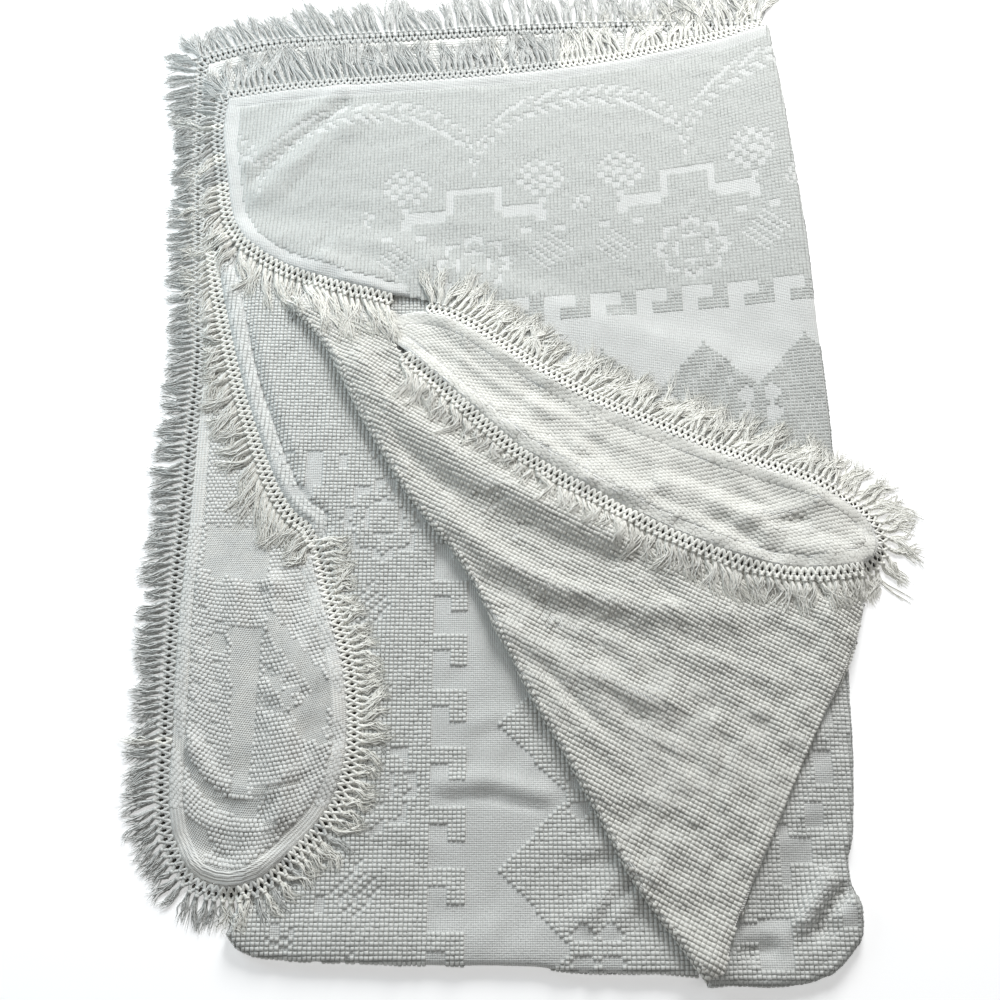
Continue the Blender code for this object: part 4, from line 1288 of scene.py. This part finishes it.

# %% [markdown]
# ## The fringe
#
# The fringe is knotted by hand: cords leave the hem, meet in a row of small
# knots, part again, and meet in a second row, from which the tassels hang. Each
# tassel is a loose bundle of cotton yarns. Here each cord is a short curve with
# five sides, and each yarn one with three. All the strands of one hem become
# one mesh. Under the knotted cords lies a layer of deep cords, painted dark as
# shade, so the gaps of the header look dark.

# %% Sizes of the fringe
TASSEL_STEP = 0.0105
KNOT_ROWS = (0.0095, 0.0190)
HEADER_ROOT, HEADER_LIFT, DEEP_LIFT = 0.0020, 0.0034, 0.0004
CORD_RADIUS, YARN_RADIUS, YARN_STEPS = 0.00315, 0.00105, 6
YARNS, UNDER_YARNS = {"under": 9, "over": 12, "middle": 13, "band": 12}, 3
CURL, LOOSE_CURL, FAN_CURL = {"under": 0.9, "over": 1.3, "middle": 1.5, "band": 1.5}, 1.7, 1.6
# Between these shares of a hem the tassels lie flat, and elsewhere loose on the
# cloth. From one to the other they change within a soft run.
FLAT_RUN, SOFT_RUN = {"under": (-1.0, 0.82), "over": (0.24, 0.74)}, 0.03
# Extra tassels where a hem turns a corner: share of the hem, number, first and
# last lean.
FANS = {"over": [(0.626, 10, -60, 60)], "under": [(0.3326, 8, -45, 45)]}
# How far the fringe reaches: share of the hem, length of header and tassel.
REACH = {
    "under": [(0.00, 0.106), (0.28, 0.100), (0.33, 0.076), (0.37, 0.068), (0.70, 0.066),
              (0.78, 0.066), (0.81, 0.062), (1.00, 0.060)],
    "over": [(0.00, 0.112), (0.56, 0.110), (0.63, 0.084), (0.80, 0.086), (1.00, 0.098)],
    "middle": [(0.00, 0.062), (1.00, 0.074)],
    "band": [(0.00, 0.088), (0.40, 0.084), (0.47, 0.072), (0.54, 0.066), (0.62, 0.064),
             (0.70, 0.070), (0.76, 0.052), (0.86, 0.052), (1.00, 0.062)],
}
# How the tassels lean along their hem: share of the hem, lean in degrees.
LEAN = {
    "under": [(0.00, -16), (0.12, 2), (0.28, 22), (0.33, 10), (0.60, 8), (0.70, 20),
              (0.80, 10), (1.00, -10)],
    "over": [(0.00, -18), (0.16, -8), (0.32, 14), (0.50, 30), (0.62, 12), (0.75, 18),
             (0.85, 40), (1.00, 35)],
    "middle": [(0.00, 15), (1.00, 25)],
    "band": [(0.00, 5), (0.30, 26), (0.45, 22), (0.55, 0), (0.70, -32), (1.00, -38)],
}

# %% Where each fringe leaves its hem
# A run leaves out the rows at its ends that lie in a fold or under a layer.
upper, tongue, top, band = (layers[name] for name in ("upper", "tongue", "top", "band"))
edges = {
    "under": np.vstack([upper[0, ::-1], upper[1:, 0], tongue[1:, 0], tongue[-1, 1:],
                        tongue[-2:2:-1, -1]]),
    "over": np.vstack([top[0, ::-1], top[1:, 0], top[-1, 1:ARC_CELLS + 1]]),
    "middle": layers["middle"][4:HEM_CELLS + 5, 0],
    "band": np.vstack([band[0, 5:], band[1:, -1], band[-1, -2:4:-1]]),
}
SIDES = {"under": 1.0, "over": 1.0, "middle": 1.0, "band": -1.0}


def table_at(table, share):
    """The table's second column where the first has the share."""
    return float(np.interp(share, *zip(*table)))


# %% Cords and yarns as curves
def section(sides, radius):
    """The outline of a yarn, which the curves carry along."""
    data = bpy.data.curves.new("yarn_section", "CURVE")
    spline = data.splines.new("POLY")
    spline.points.add(sides - 1)
    for k, point in enumerate(spline.points):
        turn = 2 * math.pi * k / sides
        point.co = (radius * math.cos(turn), radius * math.sin(turn), 0, 1)
    spline.use_cyclic_u = True
    return bpy.data.objects.new("yarn_section", data)


def strands(name, lines, sides, radius):
    """Every line as a strand: points with a relative radius each."""
    data = bpy.data.curves.new(name, "CURVE")
    data.dimensions = "3D"
    data.bevel_mode = "OBJECT"
    data.bevel_object = section(sides, radius)
    data.use_fill_caps = False
    for points, radii in lines:
        spline = data.splines.new("POLY")
        spline.points.add(len(points) - 1)
        flat_points = np.concatenate([points + SHIFT, np.ones((len(points), 1))], axis=1)
        lowest = radius * np.array(radii) + FLOOR_GAP
        flat_points[:, 2] = np.maximum(flat_points[:, 2], lowest)
        spline.points.foreach_set("co", flat_points.ravel())
        spline.points.foreach_set("radius", radii)
        spline.use_smooth = True
    curve = add_piece(name, data)
    bpy.context.view_layer.update()
    shown = curve.evaluated_get(bpy.context.evaluated_depsgraph_get())
    mesh = bpy.data.meshes.new_from_object(shown)
    bpy.data.objects.remove(curve)
    return mesh


# %% The knotted header
def along_hem(edge, side):
    """Functions of the way along a hem: its place, and its outward direction."""
    along = lengths_along(edge)
    run = np.gradient(edge[:, :2], along, axis=0)
    for _ in range(3):
        run[1:-1] = (run[:-2] + 2 * run[1:-1] + run[2:]) / 4
    out = np.stack([run[:, 1], -run[:, 0]], axis=1) * side
    out /= np.linalg.norm(out, axis=1)[:, None]

    def place(s):
        return np.array([np.interp(s, along, edge[:, k]) for k in range(3)])

    def outward(s):
        o = np.array([np.interp(s, along, out[:, k]) for k in range(2)])
        return o / np.linalg.norm(o)

    return place, outward, along[-1]


def header_point(place, outward, heights, s, far, lift):
    """A point of the header, far out from the hem."""
    base = place(s)
    x, y = base[:2] + outward(s) * far
    rest = ground_at(heights, x, y) + lift
    return np.array((x, y, base[2] + (rest - base[2]) * float(ease(far / 0.012))))


def cord(a, b, rise):
    """A cord from a to b, whose middle stands a little up."""
    return np.array([a, (a + b) / 2 + (0, 0, rise), b]), [0.8, 0.95, 0.8]


def knot(at, out, size):
    """A short fat strand that reads as a knot."""
    d = np.array((out[0], out[1], 0.0)) * 0.0022
    points = np.array([at - d, at - d * 0.4, at + d * 0.4, at + d])
    return points, [0.25 * size, size, size, 0.3 * size]


def header(point, outward, s, step, rng):
    """The cords and knots that one tassel hangs from, the deep cords under them,
    which are painted dark as shade, and the place where the tassel starts."""
    near, far = KNOT_ROWS
    left, right = (point(s + half * step, near + rng.normal(0, 0.0004), HEADER_LIFT)
                   for half in (-0.5, 0.5))
    foot = point(s, -HEADER_ROOT, DEEP_LIFT)
    start = point(s, far + rng.normal(0, 0.0008), HEADER_LIFT)
    cords, deep = [], []
    for knotted in (left, right):
        cords += [cord(foot, knotted, 0.0012), cord(knotted, start, 0.0008)]
    cords += [knot(right + (0, 0, 0.0004), outward(s + 0.5 * step), 1.20),
              knot(start, outward(s), 1.35)]
    # The deep cords are painted dark as the shade in the header's gaps.
    for away, first, last in ((0.5, 0.001, near - 0.003), (0.0, near - 0.003, far - 0.003)):
        line = [point(s + away * step, out, DEEP_LIFT)
                for out in (first, (first + last) / 2, last)]
        deep.append((np.array(line), [0.60, 0.85, 0.60]))
    return cords, deep, start


# %% One tassel
def waves(t, turns, phase):
    """A side-to-side wave of that many turns."""
    return np.sin(2 * math.pi * turns * t + phase)


def tassel(start, direction, length, heights, rng, count, low, curl):
    """The yarns of one tassel: a soft bundle that swings, frays and ends unevenly.
    A low bundle lies under another, and has no mound and no wisps."""
    lines = []
    sideways = np.array((-direction[1], direction[0]))
    bend, swing = rng.normal(0.0, 0.16) * curl, rng.uniform(0.0012, 0.0036) * curl
    turns, phase = rng.uniform(0.55, 1.05), rng.uniform(0, 2 * math.pi)
    t = np.linspace(0, 1, YARN_STEPS + 1)
    swung = swing * (waves(t, turns, phase) - math.sin(phase)) * ease(t * 1.6)
    common = bend * length * t ** 2 + swung
    # Half as wide as this at the knot, below it and at the frayed end.
    knot_width, hang_width, fray_width = 0.0020, 0.0022, 0.0036
    fray = fray_width * t ** 2 * rng.uniform(0.6, 1.5)
    width = knot_width + hang_width * ease(t * 3) + fray
    mound = 0.0034 * np.exp(-((t - 0.22) / 0.36) ** 2) + 0.0008
    for k in range(count):
        across = (k + 0.5) / count * 2 - 1 + rng.normal(0, 0.10)
        far = length * rng.uniform(0.74, 1.04)
        wisp = (not low) and rng.random() < 0.16
        if wisp:
            far, across = length * rng.uniform(1.00, 1.14), across * 1.4
        size = rng.uniform(0.0008, 0.0024) * curl
        own = size * waves(t, rng.uniform(0.8, 2.2), rng.uniform(0, 2 * math.pi)) * ease(t * 2)
        aside = common + across * width + own
        xy = start[:2] + (far * t)[:, None] * direction + aside[:, None] * sideways
        crown = 0.0
        if not low:
            crown = mound * (1 - 0.8 * across ** 2) + rng.uniform(0, 0.0012) * curl * ease(t * 2)
        z = ground_at(heights, xy[:, 0], xy[:, 1]) + YARN_RADIUS + crown
        z[0] = start[2] - (0.0012 if low else 0.0)
        thin, tip = (0.55, 0.10) if wisp else (0.95, 0.35)
        radii = np.interp(t, [0, 0.12, 0.7, 1.0], [1.25, 1.15, thin, tip])
        lines.append((np.column_stack([xy, z]), list(radii)))
    return lines


# %% A whole fringe
def drift(rng, count, spread):
    """Random numbers that change slowly from one tassel to the next."""
    rough = rng.normal(0.0, 1.0, count + 8)
    window = np.hanning(9)
    soft = np.convolve(rough, window / np.sqrt((window ** 2).sum()), mode="same")[4:-4]
    return spread * soft


def swung_by(turn, out):
    """The way out, turned by an angle."""
    cos, sin = math.cos(turn), math.sin(turn)
    return np.array((out[0] * cos - out[1] * sin, out[0] * sin + out[1] * cos))


LOOSE, FLATTENED, DEEP = 0, 1, 2


def fringe(run, heights, seed_number):
    """The fringe of one hem as one piece, and the lines of its yarns."""
    rng = np.random.default_rng(seed_number)
    place, outward, length = along_hem(edges[run], SIDES[run])
    count = round(length / TASSEL_STEP)
    step = length / count
    cords, yarns = ({LOOSE: [], FLATTENED: [], DEEP: []} for _ in range(2))
    leans, sizes = drift(rng, count, 8.0 * CURL[run]), drift(rng, count, 0.10)

    def point(s, out, lift):
        return header_point(place, outward, heights, s, out, lift)

    for n in range(count):
        s = (n + 0.5) * step + rng.normal(0, 0.0005)
        knotted, deep, start = header(point, outward, s, step, rng)
        share = s / length + (rng.normal(0, SOFT_RUN) if run in FLAT_RUN else 0.0)
        first, last = FLAT_RUN.get(run, (0.0, 0.0))
        lies = FLATTENED if first <= share < last else LOOSE
        curl = CURL[run] if lies == FLATTENED else LOOSE_CURL
        cords[lies] += knotted
        cords[DEEP] += deep
        lean = table_at(LEAN[run], s / length) + np.clip(leans[n], -18, 18) + rng.normal(0, 5)
        lean = math.radians(lean)
        way = swung_by(lean * SIDES[run], outward(s))
        tail = (table_at(REACH[run], s / length) - KNOT_ROWS[1]) / max(0.6, math.cos(lean))
        tail *= np.clip(0.96 + sizes[n] + rng.normal(0, 0.07), 0.70, 1.12)
        yarns[lies] += tassel(start, way, tail, heights, rng, YARNS[run], False, curl)
        yarns[DEEP] += tassel(start, way, tail * 0.94, heights, rng, UNDER_YARNS, True, curl)
    for share, number, first, last in FANS.get(run, []):
        s = share * length
        for turn in np.radians(np.linspace(first, last, number)) * SIDES[run]:
            start = point(s + rng.normal(0, 0.004), rng.uniform(0.006, 0.020), HEADER_LIFT)
            yarns[FLATTENED] += tassel(start, swung_by(turn, outward(s)),
                                       rng.uniform(0.06, 0.085), heights, rng, YARNS[run],
                                       False, FAN_CURL)
    # The low yarns take the greyer copy with painted shade, where the run has flat tassels.
    low_slot = FLATTENED if yarns[FLATTENED] else LOOSE
    bm = bmesh.new()
    for lines, sides, radius, slot in (
            (cords[LOOSE], 5, CORD_RADIUS, LOOSE), (cords[FLATTENED], 5, CORD_RADIUS, FLATTENED),
            (yarns[LOOSE], 3, YARN_RADIUS, LOOSE), (yarns[FLATTENED], 3, YARN_RADIUS, FLATTENED),
            (yarns[DEEP], 3, YARN_RADIUS * 1.3, low_slot), (cords[DEEP], 3, CORD_RADIUS, DEEP)):
        if lines:
            before = len(bm.faces)
            bm.from_mesh(strands(run + "_strands", lines, sides, radius))
            bm.faces.ensure_lookup_table()
            for face in bm.faces[before:]:
                face.material_index = slot
    whole = bpy.data.meshes.new("fringe_yarn_" + run)
    bm.to_mesh(whole)
    bm.free()
    whole.shade_smooth()
    piece = add_piece("fringe_yarn_" + run, whole)
    print(piece.name, count, "tassels,", triangles_in(whole), "triangles")
    return piece, [points for points, _ in yarns[LOOSE] + yarns[FLATTENED]]


def with_yarns(heights, lines):
    """The map with the yarns laid on it."""
    added = heights.copy()
    for points in lines:
        cell = np.round((points[:, :2] - MAP_LOW) / MAP_CELL).astype(int)
        i, j = np.clip(cell, 0, np.array(MAP_SIZE) - 1).T
        np.maximum.at(added, (i, j), points[:, 2] + YARN_RADIUS * 0.3)
    return spread_out(added, 1)


# %% Make the four fringes, from the lowest up
fringes, ground_map = {}, cloth_map
for seed_number, run in enumerate(("under", "middle", "band", "over")):
    fringes[run], lines = fringe(run, ground_map, 21 + seed_number)
    ground_map = with_yarns(ground_map, lines)

# %% [markdown]
# ## Finishes
#
# The whole spread is undyed cotton, bleached to a soft white. What changes from
# place to place is how the yarn lies, and much shade is painted into the colours:
# the smooth ground scatters light evenly, with painted shade in the hollows of its
# weave, a tuft is bright on its crown and has painted shade at its root, and the
# twill of the reverse shows fine slanting lines, with painted shade in their
# hollows. Fluffed yarn is the brightest. Yarn that lies flat, and the low yarn
# under it, has a greyer copy of the finish with painted shade, and the deep cords
# of the header are painted dark as shade.

# %% Colours
def colour(hex_code):
    """An sRGB hex colour as linear values."""
    parts = [int(hex_code[k:k + 2], 16) / 255 for k in (0, 2, 4)]
    return [c / 12.92 if c <= 0.04045 else ((c + 0.055) / 1.055) ** 2.4 for c in parts] + [1.0]


COTTON, COTTON_SHADE = colour("E1E2DF"), colour("DADBD8")
# Painted shade: the hollows of the plain weave are coloured darker.
WEAVE_PAINTED_SHADE = colour("BDBEBB")
# Each root colour is painted shade at the foot of the tufts.
TUFT_CROWN, TUFT_ROOT_PAINTED_SHADE = colour("E5E6E2"), colour("989A96")
# The top layer's pile is a darker copy of the pile tones, for the stronger light on it: painted
# shade.
RIB_CROWN, RIB_ROOT_PAINTED_SHADE = colour("C7C9C5"), colour("8C8D89")
BEAD_CROWN, BEAD_ROOT_PAINTED_SHADE = colour("E9E8E1"), colour("82817A")
PEBBLE_CROWN, PEBBLE_ROOT_PAINTED_SHADE = colour("E9E9E5"), colour("9C9C96")
FLOAT_CROWN, FLOAT_ROOT_PAINTED_SHADE = colour("E8E7E0"), colour("A9A8A0")
YARN_LIGHT, YARN_SHADE = colour("F6F5EF"), colour("E3E2DA")
# A greyer copy of the yarn tones, painted shade, for the fringes that lie flat and the low yarns
# under them.
PAINTED_SHADE_YARN_LIGHT, PAINTED_SHADE_YARN_DARK = colour("DBDCD9"), colour("BDBEBA")
# Painted shade: the header's deep cords are dark so that its gaps look shaded.
YARN_PAINTED_SHADE = colour("45433D")
# Painted shade: the hollows of the twill and of the hem's stitches are coloured darker.
REVERSE, TWILL_PAINTED_SHADE = colour("F3F2EC"), colour("C2C1BB")


def new_material(name):
    """A material with an empty node tree."""
    material = bpy.data.materials.new(name)
    material.use_nodes = True
    tree = material.node_tree
    tree.nodes.clear()
    return material, tree


# %% Helpers that each add one node and give its result
def maths(tree, operation, *values):
    """A maths node on sockets and numbers."""
    made = node(tree, "ShaderNodeMath", dict(enumerate(values)), operation=operation)
    return made.outputs[0]


def on_top(tree, value, share, under):
    """The share of a value, added to what is under it."""
    return maths(tree, "MULTIPLY_ADD", value, share, under)


def ranged(tree, value, low, high, first=0.0, last=1.0):
    """The value's place between low and high, as a number from first to last."""
    made = node(tree, "ShaderNodeMapRange", {
        "Value": value, "From Min": low, "From Max": high, "To Min": first, "To Max": last})
    return made.outputs["Result"]


def mixed(tree, share, none, all_of_it):
    """Two colours mixed by a share."""
    inputs = {"Factor": share, 6: none, 7: all_of_it}
    return node(tree, "ShaderNodeMix", inputs, data_type="RGBA").outputs[2]


def noise(tree, where, scale, detail=2.0):
    inputs = {"Vector": where, "Scale": scale, "Detail": detail}
    return node(tree, "ShaderNodeTexNoise", inputs).outputs["Fac"]


def bumped(tree, height, strength, distance):
    inputs = {"Height": height, "Strength": strength, "Distance": distance}
    return node(tree, "ShaderNodeBump", inputs).outputs["Normal"]


def object_place(tree):
    return node(tree, "ShaderNodeTexCoord").outputs["Object"]


def kept_value(tree, name):
    """A number that the mesh keeps for each of its points."""
    return node(tree, "ShaderNodeAttribute", attribute_name=name).outputs["Fac"]


def flat_place(tree):
    """The flat coordinates, whole and as a column and a row value."""
    flat = node(tree, "ShaderNodeUVMap", uv_map="flat").outputs["UV"]
    split = node(tree, "ShaderNodeSeparateXYZ", {"Vector": flat})
    return flat, split.outputs["X"], split.outputs["Y"]


def wave_of(tree, value, period, phase=0.0):
    """A sine wave of the value, one period long."""
    return maths(tree, "SINE", maths(tree, "MULTIPLY_ADD", value, 2 * math.pi / period, phase))


def mottled(tree, light, shade, where, scale):
    """Two tones of cotton, mixed in soft patches."""
    return mixed(tree, ranged(tree, noise(tree, where, scale, 3.0), 0.35, 0.65), shade, light)


def finish_cotton(tree, base, bump, roughness, sheen):
    """Cotton takes no gloss: rough, with a little sheen from loose fibres."""
    shader = node(tree, "ShaderNodeBsdfPrincipled", {
        "Base Color": base, "Roughness": roughness, "Normal": bump, "Sheen Weight": sheen,
        "Sheen Roughness": 0.5, "Specular IOR Level": 0.25, "IOR": 1.5})
    node(tree, "ShaderNodeOutputMaterial", {"Surface": shader.outputs["BSDF"]})


# %% The ground of the face: plain weave
# The threads are about 0.8 mm apart, too fine to show, so the ribs are drawn at
# half of the tufts' column spacing.
def face_ground():
    material, tree = new_material("plain_woven_cotton")
    flat, column, row = flat_place(tree)
    weave = on_top(tree, wave_of(tree, row, ROW / 2), 0.55, wave_of(tree, column, COLUMN / 2))
    relief = on_top(tree, noise(tree, flat, 300.0), 3.0, weave)
    patches = mottled(tree, COTTON, COTTON_SHADE, object_place(tree), 26.0)
    # Where the weave's relief is low, its hollows get painted shade.
    base = mixed(tree, ranged(tree, relief, -0.6, 2.0), WEAVE_PAINTED_SHADE, patches)
    finish_cotton(tree, base, bumped(tree, relief, 0.55, 0.0006), 0.92, 0.15)
    return material


# %% The reverse: twill, with rows of stitches along the hem
# A twill line every 3 mm, about twice as coarse as the real one, so it shows.
HEM_INNER, STITCH_PITCH = (0.021, 0.023), 0.0048


def reverse_ground():
    material, tree = new_material("twill_cotton")
    flat, column, row = flat_place(tree)
    hem = kept_value(tree, "hem")
    twill = wave_of(tree, on_top(tree, row, 0.55, column), COLUMN / 2)
    in_hem = maths(tree, "MULTIPLY", ranged(tree, hem, 0.001, 0.004),
                   ranged(tree, hem, *HEM_INNER, 1.0, 0.0))
    twill = maths(tree, "MULTIPLY", twill, ranged(tree, hem, *HEM_INNER))
    relief = on_top(tree, wave_of(tree, hem, STITCH_PITCH, 1.2),
                    maths(tree, "MULTIPLY", in_hem, 0.7), twill)
    relief = on_top(tree, wave_of(tree, row, ROW / 2), 0.35, relief)
    relief = on_top(tree, noise(tree, flat, 320.0), 1.6, relief)
    patches = mottled(tree, REVERSE, COTTON, object_place(tree), 30.0)
    # Where the relief of the twill and the stitches is low, its hollows get painted shade.
    base = mixed(tree, ranged(tree, relief, -0.5, 0.8), TWILL_PAINTED_SHADE, patches)
    finish_cotton(tree, base, bumped(tree, relief, 0.9, 0.0006), 0.92, 0.15)
    return material


# %% The cut edge, the pile and the yarn
def edge_cotton():
    material, tree = new_material("hemmed_cotton")
    place = object_place(tree)
    bump = bumped(tree, noise(tree, place, 900.0), 0.3, 0.0004)
    finish_cotton(tree, mottled(tree, COTTON, COTTON_SHADE, place, 40.0), bump, 0.9, 0.15)
    return material


def pile_cotton(name, crown_colour, root_painted_shade):
    """A tuft is bright on its crown, and shade is painted dark where its root meets the cloth."""
    material, tree = new_material(name)
    place = object_place(tree)
    # Painted shade: the colour darkens from the crown down to the tuft's root.
    rise = ranged(tree, kept_value(tree, "root"), 0.10, 0.70)
    worn = [0.9 * c for c in crown_colour[:3]] + [1.0]
    base = mixed(tree, rise, root_painted_shade, mottled(tree, crown_colour, worn, place, 150.0))
    bump = bumped(tree, noise(tree, place, 1400.0), 0.35, 0.0005)
    finish_cotton(tree, base, bump, 0.95, 0.2)
    return material


def yarn_cotton(name, light, shade, sheen=0.2):
    """Loose plied yarn, with tones that change from strand to strand."""
    material, tree = new_material(name)
    place = object_place(tree)
    bump = bumped(tree, noise(tree, place, 1100.0), 0.4, 0.0005)
    finish_cotton(tree, mottled(tree, light, shade, place, 260.0), bump, 0.9, sheen)
    return material


# %% Put the finishes on
for slot_number, material in enumerate((face_ground(), reverse_ground(), edge_cotton())):
    cloth.data.materials[slot_number] = material
# Each pile has its own copy of the finish, with painted shade at the roots set for the light on
# its layer; the top layer's copy is also painted darker all over.
PILE_FINISHES = (("top_pile_cotton_painted_shade", RIB_CROWN, RIB_ROOT_PAINTED_SHADE),
                 ("chenille_pile_cotton", TUFT_CROWN, TUFT_ROOT_PAINTED_SHADE),
                 ("reverse_float_cotton", BEAD_CROWN, BEAD_ROOT_PAINTED_SHADE),
                 ("reverse_pebble_cotton", PEBBLE_CROWN, PEBBLE_ROOT_PAINTED_SHADE),
                 ("reverse_rib_cotton", FLOAT_CROWN, FLOAT_ROOT_PAINTED_SHADE))
for piece, finish in zip(pile, PILE_FINISHES):
    piece.data.materials.clear()
    piece.data.materials.append(pile_cotton(*finish))
# In the order of the slots LOOSE, FLATTENED and DEEP. The second is a greyer copy of the yarn
# finish with painted shade, and the third is painted dark as the shade in the header's gaps.
yarn_finishes = (yarn_cotton("loose_cotton_yarn", YARN_LIGHT, YARN_SHADE),
                 yarn_cotton("flat_yarn_painted_shade", PAINTED_SHADE_YARN_LIGHT, PAINTED_SHADE_YARN_DARK),
                 yarn_cotton("header_yarn_painted_shade", YARN_PAINTED_SHADE, YARN_PAINTED_SHADE, 0.0))
for piece in fringes.values():
    for material in yarn_finishes:
        piece.data.materials.append(material)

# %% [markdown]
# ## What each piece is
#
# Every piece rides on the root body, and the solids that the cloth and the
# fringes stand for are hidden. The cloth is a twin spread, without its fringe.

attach(cloth, "root")
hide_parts("spread")
for piece in pile:
    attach(piece, "root")
for run, piece in fringes.items():
    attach(piece, "root")
    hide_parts("fringe_" + run)

# %% [markdown]
# ## Floor, light and camera
#
# The stack lies on a plain pale floor. A soft window light beyond its head
# grazes the pile, so each tuft shades the gap below it. A cool sky light from
# the left, a weak fill from above and the room's own light keep the shadows
# open.

# %% Floor
floor_bm = bmesh.new()
bmesh.ops.create_grid(floor_bm, x_segments=1, y_segments=1, size=6.0)
floor_mesh = bpy.data.meshes.new("floor")
floor_bm.to_mesh(floor_mesh)
floor_bm.free()
floor = add_piece("floor", floor_mesh)
floor_material, floor_tree = new_material("pale_floor")
floor_shader = node(floor_tree, "ShaderNodeBsdfPrincipled", {
    "Base Color": colour("F6F6F6"), "Roughness": 0.9,
    "Emission Color": colour("FFFFFF"), "Emission Strength": 0.35})
node(floor_tree, "ShaderNodeOutputMaterial", {"Surface": floor_shader.outputs["BSDF"]})
floor.data.materials.append(floor_material)

# %% Lights
def area_light(name, place, target, size, power, tint):
    data = bpy.data.lights.new(name, "AREA")
    data.shape, data.size, data.energy, data.color = "SQUARE", size, power, tint
    light = add_piece(name, data)
    light.location = place
    aim = Vector(target) - Vector(place)
    light.rotation_euler = aim.to_track_quat("-Z", "Y").to_euler()


area_light("window", (0.75, 2.9, 1.75), (0.0, -0.4, 0.0), 1.5, 162.0, (0.98, 0.99, 1.0))
area_light("sky", (-1.7, 0.6, 0.85), (-0.4, 0.4, 0.0), 1.2, 16.0, (0.78, 0.92, 1.0))
area_light("fill", (0.5, -0.4, 2.8), (0.0, 0.0, 0.0), 2.4, 6.0, (1.0, 0.985, 0.95))
world = bpy.data.worlds.new("room")
world.use_nodes = True
background = world.node_tree.nodes["Background"].inputs
background["Color"].default_value = (1.0, 1.0, 1.0, 1.0)
background["Strength"].default_value = 0.22
bpy.context.scene.world = world
bpy.context.scene.view_settings.view_transform = "Standard"

# %% Camera
camera_data = bpy.data.cameras.new("camera")
camera_data.lens, camera_data.sensor_width = 40.75, 36.0
camera = add_piece("camera", camera_data)
camera.location = (-0.0231, -0.8175, 1.675)
camera.rotation_euler = (math.radians(21.0), 0.0, 0.0)
bpy.context.scene.camera = camera
